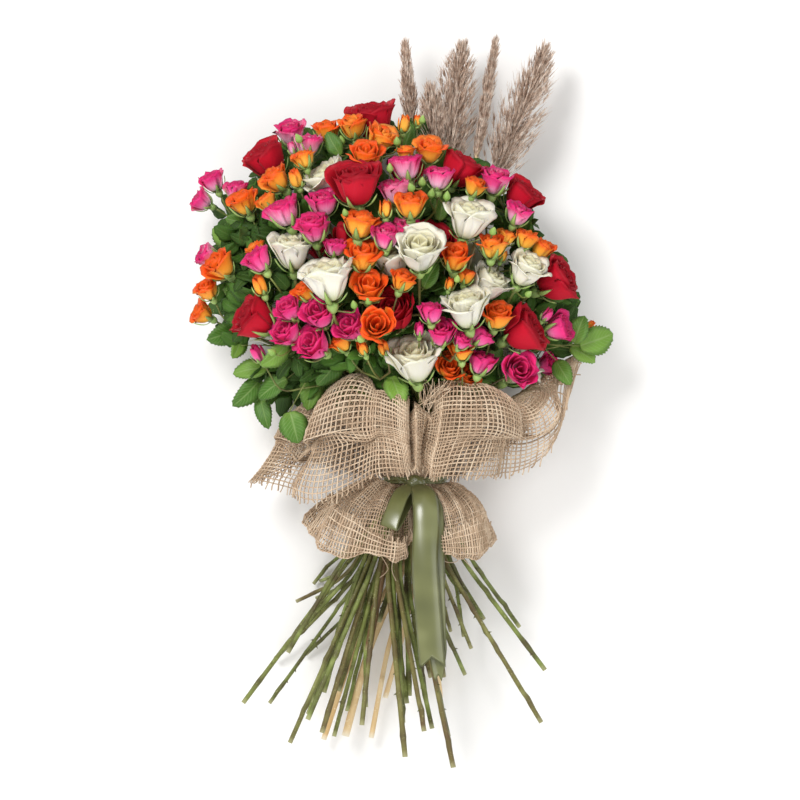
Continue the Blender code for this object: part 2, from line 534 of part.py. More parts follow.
def segment_points(start, end, step=5.0):
    count = max(2, int(np.linalg.norm(end - start) / step) + 1)
    return start + (end - start) * np.linspace(0, 1, count)[:, None]


def lay_out_leaves(blooms, stems, pedicels, canes, solid_points, count):
    """Leaves on all sides, each clear of everything, with a stalk from the nearest stem that it can reach."""
    rng = np.random.default_rng(SEED + 1)
    spots = [b["place"] for b in blooms]
    sizes = [b["radius"] for b in blooms]
    for line in pedicels + canes:
        for a, b in zip(line["points"][:-1], line["points"][1:]):
            run = segment_points(a, b)
            spots += list(run)
            sizes += [line["radius"]] * len(run)
    for cane in canes:
        run = segment_points(cane["points"][-2], cane["points"][-1], 10)
        spots += list(run)
        sizes += [cane["wide"] * 0.8] * len(run)
    spots = np.concatenate((np.array(spots), solid_points))
    sizes = np.concatenate((np.array(sizes), np.full(len(solid_points), 1.5)))
    green = np.concatenate([segment_points(a, b) for s in stems
                            for a, b in zip(s["points"][2:-1], s["points"][3:])])
    roots = np.concatenate([segment_points(*s["points"][[3, 4]], 9) for s in stems]
                           + [segment_points(*s["points"][[4, 5]], 9)[1:-1] for s in stems])
    leaves, taken = [], np.zeros((0, 3))

    def clear(points, margin, taken_margin, root=None):
        far = np.linalg.norm(points[:, None] - spots[None], axis=2) - sizes[None]
        if far.min() < margin or points[:, 2].min() < 3.0:
            return False
        others = green if root is None else green[np.linalg.norm(green - root, axis=1) > 14]
        tested = points if root is None else points[2:]
        if len(tested) and np.linalg.norm(tested[:, None] - others[None], axis=2).min() < STEM_RADIUS + 1.5:
            return False
        return not len(taken) or np.linalg.norm(points[:, None] - taken[None], axis=2).min() > taken_margin

    def place_leaf(middle, way, normal, length, width, near, margin):
        nonlocal taken
        side = unit(np.cross(normal, way))
        leaf = {"middle": middle, "way": way, "side": side, "normal": np.cross(way, side), "length": length,
                "width": width}
        points = leaf_points(leaf)
        if not clear(points, margin, 5.0):
            return False
        base = leaf_place(leaf, -0.5, 0)
        far = np.linalg.norm(roots - base, axis=1)
        for k in np.argsort(far)[:30]:
            if not 6 < far[k] < near or np.dot(unit(base - roots[k]), way) < -0.2:
                continue
            stalk = segment_points(roots[k] + (base - roots[k]) * 0.12, base)
            if clear(stalk, 1.8, 3.0, roots[k]):
                leaf["root"], leaf["base"] = roots[k], base
                taken = np.concatenate((taken, points, stalk))
                leaves.append(leaf)
                return True
        return False

    for px, py, height, length, width, degrees in SHOWN_LEAVES:
        angle = math.radians(degrees)
        for attempt in range(40):
            way = unit(np.array((math.cos(angle), math.sin(angle), 0.25 * rng.normal())))
            middle = photo_place(px, py, height)
            middle += rng.normal(0, 1, 3) * (0.25, 0.25, 1.0) * attempt * 1.2
            normal = unit(np.array((0.35 * rng.normal(), 0.35 * rng.normal(), 1.0)))
            if place_leaf(middle, way, normal, length, width, 130, 2.5):
                break
    centre = np.array(DOME_CENTRE)
    for _ in range(LEAF_TRIES):
        if len(leaves) >= count:
            break
        ray = unit(rng.normal(size=3))
        reach = np.array((DOME_ACROSS, DOME_UP if ray[1] > 0 else DOME_DOWN, DOME_FRONT))
        middle = centre + ray * reach * rng.uniform(0.88, 1.04)
        if ray[2] < 0:
            middle[2] = rng.uniform(8, 70)
        out = unit(middle - FOCUS)
        way = unit(out * rng.uniform(0.2, 1.0) + unit(rng.normal(size=3)) * 0.7)
        length = rng.uniform(36, 50)
        normal = unit(ray + rng.normal(size=3) * 0.3)
        normal = unit(normal - way * np.dot(normal, way))
        place_leaf(middle, way, normal, length, length * rng.uniform(0.52, 0.66), 110, 2.5)
    return leaves


# The burlap's surface, which the layout also keeps clear of


def spline_value(points, at):
    """A smooth curve through a list of points, at a place counted in points."""
    i = min(int(at), len(points) - 2)
    t = at - i
    p0, p1, p2, p3 = (points[min(max(k, 0), len(points) - 1)] for k in (i - 1, i, i + 1, i + 2))
    return 0.5 * (2 * p1 + (p2 - p0) * t + (2 * p0 - 5 * p1 + 4 * p2 - p3) * t**2
                  + (3 * p1 - p0 - 3 * p2 + p3) * t**3)


def burlap_rib(collar, skirt):
    """One rib from the collar's hem over the tie to the skirt's hem, as (distance from the axis, Y)."""
    tie = [(WAIST_RADIUS, 10.0), (WAIST_RADIUS, -9.0)]
    return np.array(list(reversed(collar)) + tie + list(skirt), float)


def burlap_grid(columns, steps):
    """Points of the burlap's middle surface, as rows along each of the columns round the bundle."""
    ribs = np.array([burlap_rib(collar, skirt) for _, collar, skirt in BURLAP_RIBS])
    angles = np.array([a for a, _, _ in BURLAP_RIBS] + [360.0])
    wrapped = np.concatenate((ribs[-1:], ribs, ribs[:2]))
    grid = []
    for column in range(columns):
        angle = 360.0 * column / columns
        k = int(np.searchsorted(angles, angle, side="right")) - 1
        t = (angle - angles[k]) / (angles[k + 1] - angles[k])
        rib = spline_value(wrapped[k:k + 4], 1 + t)
        rows = [spline_value(rib, i / steps) for i in range((len(rib) - 1) * steps + 1)]
        turn = math.radians(angle)
        grid.append([(r * math.sin(turn), y, TIE_HEIGHT + r * math.cos(turn)) for r, y in rows])
    grid = np.array(grid)
    grid[..., 2] = np.maximum(grid[..., 2], BURLAP_THICK / 2)
    return grid


# Solids


def link_to(collection, name, mesh):
    made = bpy.data.objects.new(name, mesh)
    collection.objects.link(made)
    return made


def mesh_from(points, faces, name):
    mesh = bpy.data.meshes.new(name)
    mesh.from_pydata([tuple(p * MM) for p in points], [], [tuple(f) for f in faces])
    mesh.validate()
    return mesh


def loft(rings, foot=None, top=None):
    """Points and faces of a closed solid through rings of equal count, with a point or a face at each end."""
    count = len(rings[0])
    points = [p for ring in rings for p in ring]
    faces = []
    for r in range(len(rings) - 1):
        for k in range(count):
            a, b = r * count + k, r * count + (k + 1) % count
            faces.append((a, b, b + count, a + count))
    last = (len(rings) - 1) * count
    if foot is None:
        faces.append(tuple(reversed(range(count))))
    else:
        points.append(foot)
        faces += [((k + 1) % count, k, len(points) - 1) for k in range(count)]
    if top is None:
        faces.append(tuple(range(last, last + count)))
    else:
        points.append(top)
        faces += [(last + k, last + (k + 1) % count, len(points) - 1) for k in range(count)]
    return points, faces


def bloom_rings(kind):
    """The profile of a bloom: each ring's radius and height, and how far the petal tips reach past them."""
    if kind == "rose":
        return ((0.28, -0.95, 0, 0), (0.78, -0.55, 0, 0), (0.84, 0.3, 0.1, 0.1), (0.64, 0.12, 0, 0),
                (0.55, 0.58, -0.07, -0.08), (0.34, 0.34, 0, 0)), 0.8
    if kind == "spray":
        return ((0.68, -0.5, 0, 0), (0.82, 0.28, 0.12, 0.12), (0.5, 0.12, 0, 0), (0.4, 0.62, -0.08, -0.08)), 0.3
    if kind == "small":
        return ((0.68, -0.5, 0, 0), (0.82, 0.3, 0.12, 0.14), (0.48, 0.2, 0, 0)), 0.75
    return ((0.5, -0.45, 0, 0), (0.4, 0.3, 0.06, 0.05)), 0.95


def kept_points(points, fixed=(0, 1, 2, -2, -1)):
    """Numbers of the points that a line needs: its fixed ones and those that lie off the others' line."""
    keep = list(range(len(points)))
    last = len(points)
    for k in sorted(set(keep) - {i % last for i in fixed}):
        place = keep.index(k)
        a, b = points[keep[place - 1]], points[keep[place + 1]]
        along = unit(b - a)
        off = points[k] - a
        if np.linalg.norm(off - along * np.dot(off, along)) < SPARE_BEND:
            keep.remove(k)
    return keep


def without_spare_points(points):
    return points[kept_points(points, (0, -1))]


def tube_rings(points, radii, side, sides):
    """Rings of a slim tube along points, and the side way carried along it."""
    rings = []
    tangents = np.gradient(points, axis=0)
    for point, radius, tangent in zip(points, radii, tangents):
        along = unit(tangent)
        side = unit(side - along * np.dot(side, along))
        other = np.cross(along, side)
        rings.append([point + radius * (side * math.cos(a) + other * math.sin(a))
                      for a in (2 * math.pi * k / sides for k in range(sides))])
    return rings


def bridge(low, high, low_start, high_start):
    """Triangles between two rings that go round the same way but have different counts."""
    faces, i, j = [], 0, 0
    while i < low or j < high:
        a, b = low_start + i % low, high_start + j % high
        if j * low <= i * high and j < high or i == low:
            faces.append((a, high_start + (j + 1) % high, b))
            j += 1
        else:
            faces.append((a, low_start + (i + 1) % low, b))
            i += 1
    return faces


def bloom_solid(bloom, collection, rng, pedicel=None):
    """A bloom with its petals as lobes in layers, each turned half a petal from the one outside, on its pedicel."""
    radius = bloom["radius"]
    kind = "bud" if radius <= BUD_RADIUS else "rose" if bloom["node"].startswith("rose") else "spray"
    if kind == "spray" and radius < 15.5:
        kind = "small"
    count = {"rose": 10 if radius > 24 else 8, "spray": 8, "small": 8 if radius > 13 else 6, "bud": 5}[kind]
    profile, high = bloom_rings(kind)
    side, other = axis_frame(bloom["axis"], rng.uniform(0, 2 * math.pi))

    def at(r, h, angle):
        out = side * math.cos(angle) + other * math.sin(angle)
        return bloom["place"] + radius * (out * r + bloom["axis"] * h)

    rings = []
    for r, h, reach, lift in profile:
        ring = []
        for k in range(count):
            lobe = 1 if k % 2 == 0 else -1
            ring.append(at(r + reach * lobe * 0.5, h + lift * lobe * 0.5, 2 * math.pi * k / count))
        rings.append(ring)
    points, faces = loft(rings, None, at(0, high, 0))
    if pedicel is not None:
        shift = len(points)
        faces.remove(tuple(reversed(range(count))))
        way = without_spare_points(pedicel["points"][::-1])
        stalk = tube_rings(way, [PEDICEL_RADIUS] * len(way), side, PEDICEL_SIDES)
        points += [p for ring in stalk for p in ring]
        # the stalk runs down from the bloom, so its rings go round the other way
        order = [0] + list(range(PEDICEL_SIDES - 1, 0, -1))
        turned = [[shift + r * PEDICEL_SIDES + k for k in order] for r in range(len(way))]
        remap = {10_000 + k: turned[0][k] for k in range(PEDICEL_SIDES)}
        for face in bridge(PEDICEL_SIDES, count, 10_000, 0):
            faces.append(tuple(remap.get(v, v) for v in face))
        for r in range(len(way) - 1):
            for k in range(PEDICEL_SIDES):
                n = (k + 1) % PEDICEL_SIDES
                faces.append((turned[r + 1][k], turned[r + 1][n], turned[r][n], turned[r][k]))
        faces.append(tuple(reversed(turned[-1])))
    points = np.array(points)
    points[:, 2] = np.maximum(points[:, 2], 0.0)
    mesh = mesh_from(points, faces, "bloom")
    weld(mesh)
    return link_to(collection, "bloom", mesh)


def tube_profile(collection, sides):
    """A closed outline with a radius of 1 mm, which a curve carries along as its section."""
    curve = bpy.data.curves.new(f"section_{sides}", "CURVE")
    curve.dimensions = "2D"
    curve.fill_mode = "NONE"
    spline = curve.splines.new("POLY")
    spline.points.add(sides - 1)
    for k, point in enumerate(spline.points):
        angle = 2 * math.pi * k / sides
        point.co = (math.cos(angle) * MM, math.sin(angle) * MM, 0, 1)
    spline.use_cyclic_u = True
    made = link_to(collection, curve.name, curve)
    made.hide_render = True
    made.display_type = "WIRE"
    return made


def tubes(lines, collection, profile):
    """Closed tubes along lines, each given as its points and its radius at each of them."""
    made = []
    for points, radii in lines:
        curve = bpy.data.curves.new("tube", "CURVE")
        curve.dimensions = "3D"
        curve.bevel_mode = "OBJECT"
        curve.bevel_object = profile
        curve.use_fill_caps = True
        spline = curve.splines.new("POLY")
        spline.points.add(len(points) - 1)
        for point, place, radius in zip(spline.points, points, radii):
            point.co = (*(place * MM), 1)
            point.radius = radius
        made.append(link_to(collection, "tube", curve))
    depsgraph = bpy.context.evaluated_depsgraph_get()
    solids = []
    for tube in made:
        mesh = bpy.data.meshes.new_from_object(tube.evaluated_get(depsgraph))
        weld(mesh)
        solids.append(link_to(collection, "tube", mesh))
        bpy.data.objects.remove(tube)
    return solids


def weld(mesh):
    """Joins the caps of a curve's mesh to its sides and turns all faces out."""
    work = bmesh.new()
    work.from_mesh(mesh)
    bmesh.ops.remove_doubles(work, verts=work.verts, dist=0.02 * MM)
    bmesh.ops.recalc_face_normals(work, faces=work.faces)
    work.to_mesh(mesh)
    work.free()


def fuse(name, collection, target, solvers=("EXACT", "MANIFOLD")):
    """Joins all solids of a collection into one, by the first solver that leaves it closed, and moves it."""
    base = collection.objects[0]
    rest = [o for o in collection.objects if o != base]
    collection.objects.unlink(base)
    target.objects.link(base)
    if rest:
        union = base.modifiers.new("union", "BOOLEAN")
        union.operation = "UNION"
        union.operand_type = "COLLECTION"
        union.collection = collection
        for solver in solvers:
            union.solver = solver
            depsgraph = bpy.context.evaluated_depsgraph_get()
            mesh = bpy.data.meshes.new_from_object(base.evaluated_get(depsgraph))
            if is_closed(mesh):
                break
        base.modifiers.remove(union)
        base.data = mesh
        for each in rest:
            bpy.data.objects.remove(each)
    base.name = name
    base.data.name = name
    tidy_mesh(base.data)
    return base


def is_closed(mesh):
    work = bmesh.new()
    work.from_mesh(mesh)
    closed = all(len(edge.link_faces) == 2 for edge in work.edges)
    work.free()
    return closed


def tidy_mesh(mesh):
    """Splits a solid into triangles and leaves out loose scraps."""
    work = bmesh.new()
    work.from_mesh(mesh)
    bmesh.ops.triangulate(work, faces=work.faces)
    keep_largest(work)
    work.to_mesh(mesh)
    work.free()


def keep_largest(work):
    """Keeps the largest connected body of a mesh."""
    left = set(work.faces)
    bodies = []
    while left:
        body, front = set(), [left.pop()]
        while front:
            face = front.pop()
            body.add(face)
            for edge in face.edges:
                for near in edge.link_faces:
                    if near in left:
                        left.remove(near)
                        front.append(near)
        bodies.append(body)
    bodies.sort(key=len)
    for body in bodies[:-1]:
        bmesh.ops.delete(work, geom=list(body), context="FACES")


def material(name):
    colour, roughness = COLOURS[name]
    made = bpy.data.materials.new(name)
    made.use_nodes = True
    shader = made.node_tree.nodes["Principled BSDF"]
    shader.inputs["Base Color"].default_value = (*colour, 1)
    shader.inputs["Roughness"].default_value = roughness
    shader.inputs["Metallic"].default_value = 0.0
    made.diffuse_color = (*colour, 1)
    return made


# The pieces


def make_roses(blooms, parts, scratch, materials, rng):
    for bloom in blooms:
        if bloom["node"].startswith("rose"):
            bloom_solid(bloom, scratch, rng)
            fuse(bloom["node"], scratch, parts).data.materials.append(materials[bloom["colour"]])


def make_sprays(blooms, stems, pedicels, parts, scratch, materials, profiles, rng):
    """Each spray: its blooms and buds on pedicels that meet on a short branch."""
    stem_of = {s["owner"]: s for s in stems}
    for node in dict.fromkeys(p["node"] for p in pedicels):
        mine = [p for p in pedicels if p["node"] == node]
        for pedicel in mine:
            bloom_solid(pedicel["bloom"], scratch, rng, pedicel)
        end, axis = stem_of[node]["points"][-1], stem_of[node]["axis"]
        branch = (end + axis * GAP / 2, end + axis * (CUP_LENGTH + 2.5))
        tubes([(np.array(branch), (NECK_RADIUS, NECK_RADIUS))], scratch, profiles[STEM_SIDES])
        colour = mine[0]["bloom"]["colour"]
        fuse(node, scratch, parts).data.materials.append(materials[colour])


def leaf_solid(leaf, collection):
    """A thin leaf with a waved edge, arched and folded along its rib, whose stalk is sunk in its stem."""
    side, normal = leaf["side"], leaf["normal"]
    half = LEAF_THICK / 2
    base = leaf_place(leaf, -0.5, 0)
    stalk = unit(base - leaf["root"])
    left, down = axis_frame(stalk)
    points = [leaf["root"] + left * 1.1, leaf["root"] - left * 0.6 + down, leaf["root"] - left * 0.6 - down]
    points += [base + side * 0.9, base - side * 0.9, base - normal * 1.1]
    edge = ((-0.34, 0.4), (-0.08, 0.5), (0.2, 0.36))
    points += [leaf_place(leaf, along, across) for along, across in edge] + [leaf_place(leaf, 0.5, 0)]
    points += [leaf_place(leaf, along, -across) for along, across in reversed(edge)]
    points += [leaf_place(leaf, along, 0, lift) for lift in (half, -half) for along in (-0.15, 0.2)]
    top_a, top_b, low_a, low_b = 13, 14, 15, 16
    faces = [(0, 1, 2)]
    turn = min(range(3),
               key=lambda k: sum(np.linalg.norm(points[i] - points[3 + (i + k) % 3]) for i in range(3)))
    for i in range(3):
        a, b = i, (i + 1) % 3
        faces.append((a, b, 3 + (b + turn) % 3))
        faces.append((a, 3 + (b + turn) % 3, 3 + (a + turn) % 3))
    for near, far, inner in ((top_a, top_b, (4, 3)), (low_a, low_b, (4, 5, 3))):
        chain = list(inner) + [6, 7]
        for a, b in zip(chain, chain[1:]):
            faces.append((near, a, b))
        faces += [(near, 7, far), (far, 7, 8), (far, 8, 9), (far, 9, 10), (far, 10, 11), (near, far, 11)]
        faces += [(near, 11, 12), (near, 12, 4)]
    mesh = mesh_from(points, faces, "leaf")
    weld(mesh)
    link_to(collection, "leaf", mesh)


def make_stems(blooms, stems, leaves, parts, scratch, materials, profiles):
    """All green stems, tied in one bundle, with the cups that carry the roses and the leaves."""
    radius_of = {b["node"]: b["radius"] for b in blooms if b["node"].startswith("rose")}
    core = bmesh.new()
    turn = Matrix.Translation(Vector((0, 0, TIE_HEIGHT * MM))) @ Matrix.Rotation(math.pi / 2, 4, "X")
    bmesh.ops.create_cone(core, cap_ends=True, segments=16, radius1=CORE_RADIUS * MM, radius2=CORE_RADIUS * MM,
                          depth=2 * CORE_HALF * MM, matrix=turn)
    mesh = bpy.data.meshes.new("core")
    core.to_mesh(mesh)
    core.free()
    link_to(scratch, "core", mesh)
    lines = []
    for stem in stems:
        points, size = stem["points"].copy(), radius_of.get(stem["owner"])
        points[-1] -= stem["axis"] * (GAP if size else GAP / 2)
        radii = (stem["size"] * 1.15, stem["size"] * 1.1, STEM_RADIUS, STEM_RADIUS, STEM_RADIUS,
                 NECK_RADIUS, size * CUP_SHARE if size else NECK_RADIUS)
        keep = kept_points(points)
        lines.append((points[keep], [radii[k] for k in keep]))
    tubes(lines, scratch, profiles[STEM_SIDES])
    for leaf in leaves:
        leaf_solid(leaf, scratch)
    fuse("stems", scratch, parts, ("MANIFOLD",)).data.materials.append(materials["green"])


def plume_needle(collection, root, tip, thick):
    """One spiky branch of a plume, a slim three-sided needle."""
    work = bmesh.new()
    length = float(np.linalg.norm(tip - root))
    bmesh.ops.create_cone(work, cap_ends=True, segments=3, radius1=thick * MM, radius2=0, depth=length * MM)
    way = Vector(unit(tip - root)).to_track_quat("Z", "Y").to_matrix().to_4x4()
    place = Matrix.Translation(Vector((root + tip) / 2 * MM)) @ way
    bmesh.ops.transform(work, matrix=place, verts=work.verts)
    mesh = bpy.data.meshes.new("needle")
    work.to_mesh(mesh)
    work.free()
    link_to(collection, "needle", mesh)


def make_plumes(canes, parts, scratch, materials, profiles, rng):
    """Reed plumes: a cane that tapers into a slim core, with branches out to the tip on all sides."""
    for i, cane in enumerate(canes):
        foot, tip = cane["points"][-2], cane["points"][-1]
        points = list(cane["points"][:-1])
        radii = [cane["size"], cane["size"], CANE_RADIUS, CANE_RADIUS, CANE_RADIUS, CANE_RADIUS, 2.6]
        for share, size in ((0.5, 3.0), (0.97, 0.6)):
            points.append(foot + (tip - foot) * share)
            radii.append(size)
        tubes([(np.array(points), radii)], scratch, profiles[CANE_SIDES])
        axis, length = unit(tip - foot), float(np.linalg.norm(tip - foot))
        side, other = axis_frame(axis)
        for k in range(cane["branches"]):
            share = (k + 0.5) / cane["branches"]
            turn = k * GOLDEN_ANGLE
            out = side * math.cos(turn) + other * math.sin(turn)
            full = math.sin(math.pi * min(1.0, 0.25 + share * 0.72)) ** 0.8
            root = foot + axis * length * share * 0.86
            reach = length * (0.26 + 0.06 * rng.uniform(-1, 1)) * (1.1 - 0.5 * share)
            end = root + axis * reach + out * cane["wide"] * full * rng.uniform(0.8, 1.0)
            plume_needle(scratch, root, end, NEEDLE_RADIUS)
        fuse(f"reed_plume_{i + 1}", scratch, parts, ("MANIFOLD",)).data.materials.append(materials["reed"])


def make_burlap(parts, materials):
    """The wrap: one gathered sheet with a collar that rolls over and a skirt."""
    grid = burlap_grid(BURLAP_COLUMNS, SHEET_STEPS)
    columns, rows = grid.shape[:2]
    across = np.roll(grid, -1, 0) - np.roll(grid, 1, 0)
    along = np.gradient(grid, axis=1)
    normal = np.cross(across, along)
    normal /= np.linalg.norm(normal, axis=2)[..., None]
    points = np.concatenate(((grid + normal * BURLAP_THICK / 2).reshape(-1, 3),
                             (grid - normal * BURLAP_THICK / 2).reshape(-1, 3)))
    points[:, 2] = np.where(points[:, 2] < PRESSED_BELOW, 0.0, points[:, 2])
    shift = columns * rows
    faces = []
    for c in range(columns):
        n = (c + 1) % columns
        for r in range(rows - 1):
            a, b, d, e = c * rows + r, n * rows + r, n * rows + r + 1, c * rows + r + 1
            faces.append((a, b, d, e))
            faces.append((a + shift, e + shift, d + shift, b + shift))
        for r in (0, rows - 1):
            a, b = c * rows + r, n * rows + r
            faces.append((b, a, a + shift, b + shift) if r == 0 else (a, b, b + shift, a + shift))
    mesh = mesh_from(points, faces, "burlap_wrap")
    weld(mesh)
    wrap = link_to(parts, "burlap_wrap", mesh)
    tidy_mesh(mesh)
    wrap.data.materials.append(materials["burlap"])


def strip_solid(collection, path, way, wide, pointed=False):
    """A length of ribbon along a path of points, with its width along one way in each place."""
    points = np.array(path, float)
    tangent = np.gradient(points, axis=0)
    rings = []
    for k, (point, along) in enumerate(zip(points, tangent)):
        across = unit(way - unit(along) * np.dot(way, unit(along)))
        normal = unit(np.cross(unit(along), across))
        half = wide / 2 * (0.35 if pointed and k == len(points) - 1 else 1.0) * (0.45 if k == 0 else 1.0)
        flat = normal * RIBBON_THICK / 2
        rings.append([point - across * half - flat, point + across * half - flat,
                      point + across * half + flat, point - across * half + flat])
    solid_points, faces = loft(rings)
    mesh = mesh_from(np.array(solid_points), faces, "strip")
    weld(mesh)
    link_to(collection, "strip", mesh)


def make_ribbon(parts, scratch, materials):
    """The satin ribbon: a band round the wrap, a knot, a loop and two tails."""
    rings = []
    for radius, y in ((BAND_INNER, -BAND_HALF), (BAND_INNER + RIBBON_THICK, -BAND_HALF),
                      (BAND_INNER + RIBBON_THICK, BAND_HALF), (BAND_INNER, BAND_HALF)):
        angles = np.arange(BAND_SIDES) * 2 * math.pi / BAND_SIDES
        rings.append(np.stack((radius * np.sin(angles), np.full(BAND_SIDES, y),
                               TIE_HEIGHT + radius * np.cos(angles)), 1))
    faces = []
    for r in range(4):
        low, high = r * BAND_SIDES, (r + 1) % 4 * BAND_SIDES
        for k in range(BAND_SIDES):
            n = (k + 1) % BAND_SIDES
            faces.append((low + k, low + n, high + n, high + k))
    band = mesh_from(np.concatenate(rings), faces, "band")
    weld(band)
    link_to(scratch, "band", band)
    knot = bmesh.new()
    place = Matrix.Translation(Vector(KNOT_PLACE) * MM) @ Matrix.Diagonal((*(Vector(KNOT_SIZE) * MM), 1))
    bmesh.ops.create_uvsphere(knot, u_segments=8, v_segments=5, radius=1, matrix=place)
    mesh = bpy.data.meshes.new("knot")
    knot.to_mesh(mesh)
    knot.free()
    link_to(scratch, "knot", mesh)
    level = np.array((1.0, 0.0, 0.0))
    strip_solid(scratch, [photo_place(*p) for p in TAIL_FRONT], level, RIBBON_WIDE)
    strip_solid(scratch, [photo_place(*p) for p in TAIL_BACK], level, RIBBON_WIDE * 0.8, True)
    strip_solid(scratch, [photo_place(*p) for p in LOOP], np.array(LOOP_WAY), RIBBON_WIDE * 0.7)
    fuse("satin_ribbon", scratch, parts).data.materials.append(materials["ribbon"])


def make_twine(parts, materials):
    """The twine that binds the stems inside the wrap."""
    bpy.ops.mesh.primitive_torus_add(
        major_radius=TWINE_RING_RADIUS * MM, minor_radius=TWINE_RADIUS * MM, major_segments=18, minor_segments=4,
        location=(0, 0, TIE_HEIGHT * MM), rotation=(math.pi / 2, 0, 0))
    twine = bpy.context.object
    twine.name = twine.data.name = "binding_twine"
    for other in list(twine.users_collection):
        other.objects.unlink(twine)
    parts.objects.link(twine)
    twine.data.materials.append(materials["twine"])


def main():
    for old in list(bpy.data.objects):
        bpy.data.objects.remove(old)
    parts = bpy.data.collections.new("flower_bouquet")
    scratch = bpy.data.collections.new("solids_to_fuse")
    guides = bpy.data.collections.new("sections")
    for collection in (parts, scratch, guides):
        bpy.context.scene.collection.children.link(collection)
    materials = {name: material(name) for name in COLOURS}
    profiles = {sides: tube_profile(guides, sides) for sides in (STEM_SIDES, CANE_SIDES)}
    rng = np.random.default_rng(SEED)

    wrap = burlap_grid(60, 3).reshape(-1, 3)
    tail = np.array([photo_place(*p) for p in TAIL_BACK + TAIL_FRONT])
    solid_points = np.concatenate((wrap, tail))
    blooms = list_blooms()
    spread_blooms(blooms, wrap)
    stems, pedicels = lay_out_stems(blooms, wrap, rng)
    canes = lay_out_canes()
    clear_lines(stems + pedicels + canes, blooms, solid_points)
    leaves = lay_out_leaves(blooms, stems, pedicels, canes, solid_points, len(SHOWN_LEAVES) + FILL_LEAVES)

    make_roses(blooms, parts, scratch, materials, rng)
    make_sprays(blooms, stems, pedicels, parts, scratch, materials, profiles, rng)
    make_stems(blooms, stems, leaves, parts, scratch, materials, profiles)
    make_plumes(canes, parts, scratch, materials, profiles, rng)
    make_burlap(parts, materials)
    make_ribbon(parts, scratch, materials)
    make_twine(parts, materials)


main()
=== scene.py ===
# Flower bouquet: a tied bunch of roses and reed plumes in burlap, lying on a pale surface.
# Lengths in the tables are millimetres, with x to the right and y up the bunch; meshes are made in metres.

import math

import bpy
import numpy as np
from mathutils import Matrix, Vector
from mathutils.kdtree import KDTree


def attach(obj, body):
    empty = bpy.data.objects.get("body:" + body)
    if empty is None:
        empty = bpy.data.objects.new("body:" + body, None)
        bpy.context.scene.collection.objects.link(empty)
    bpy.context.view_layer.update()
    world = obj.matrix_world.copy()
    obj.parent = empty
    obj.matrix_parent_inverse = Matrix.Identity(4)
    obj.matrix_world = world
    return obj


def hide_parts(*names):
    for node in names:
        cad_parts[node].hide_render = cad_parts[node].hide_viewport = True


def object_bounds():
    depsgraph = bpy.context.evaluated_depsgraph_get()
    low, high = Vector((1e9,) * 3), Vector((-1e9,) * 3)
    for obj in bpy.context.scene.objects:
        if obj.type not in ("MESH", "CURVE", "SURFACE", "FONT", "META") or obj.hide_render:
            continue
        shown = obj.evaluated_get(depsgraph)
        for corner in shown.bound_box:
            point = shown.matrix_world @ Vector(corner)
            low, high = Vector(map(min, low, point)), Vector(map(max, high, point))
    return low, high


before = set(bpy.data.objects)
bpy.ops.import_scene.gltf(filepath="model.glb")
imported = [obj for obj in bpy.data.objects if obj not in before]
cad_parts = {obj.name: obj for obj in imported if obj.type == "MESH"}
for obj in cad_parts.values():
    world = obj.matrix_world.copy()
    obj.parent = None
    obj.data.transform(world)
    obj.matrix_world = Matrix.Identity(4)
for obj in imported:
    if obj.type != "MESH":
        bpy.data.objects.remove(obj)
cadBox = [list(corner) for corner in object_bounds()]
print("frame loaded:", len(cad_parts), "nodes")

millimetre = 0.001
goldenAngle = math.radians(137.508)


# Mesh building


# Lengths of vectors, which lie along the last axis.
def lengths(vectors):
    return np.linalg.norm(vectors, axis=-1)


# The same vectors, each made one long.
def unit(vectors):
    return vectors / np.maximum(lengths(vectors)[..., None], 1e-9)


# The faces of a thin closed blade of rows by columns points. Its two skins share the points at its edge.
def bladeFaces(rows, columns):
    front = np.arange(rows * columns).reshape(rows, columns)
    back = front.copy()
    inner = (rows - 2) * (columns - 2)
    back[1:-1, 1:-1] = rows * columns + np.arange(inner).reshape(rows - 2, columns - 2)
    a, b, c, d = front[:-1, :-1], front[:-1, 1:], front[1:, 1:], front[1:, :-1]
    upper = np.stack((a, b, c, d), -1).reshape(-1, 4)
    a, b, c, d = back[:-1, :-1], back[:-1, 1:], back[1:, 1:], back[1:, :-1]
    return np.concatenate((upper, np.stack((a, d, c, b), -1).reshape(-1, 4)))


# Many blades at once, from their middle surfaces as (blades, rows, columns, 3) and their full thickness. The
# values are for the material: how far along and across a point lies, its layer and its tint.
def blades(middle, thick, values):
    count, rows, columns = middle.shape[:3]
    half = unit(np.cross(np.gradient(middle, axis=2), np.gradient(middle, axis=1))) * thick / 2
    edge = np.zeros((rows, columns, 1))
    edge[1:-1, 1:-1] = 1
    front = (middle + half * edge).reshape(count, -1, 3)
    back = (middle - half)[:, 1:-1, 1:-1].reshape(count, -1, 3)
    points = np.concatenate((front, back), 1)
    skin = 0.5 * (1 - edge[..., 0])  # 0 on the outer skin, 1 on the inner one, 0.5 at the edge
    grade = np.stack([np.broadcast_to(value, middle.shape[:3]) for value in (*values, skin)], -1)
    backGrade = grade[:, 1:-1, 1:-1].copy()
    backGrade[..., 4] = 1
    grades = np.concatenate((grade.reshape(count, -1, 5), backGrade.reshape(count, -1, 5)), 1)
    size = points.shape[1]
    faces = bladeFaces(rows, columns) + np.arange(count)[:, None, None] * size
    return points.reshape(-1, 3), [faces.reshape(-1, 4)], grades.reshape(-1, 5)


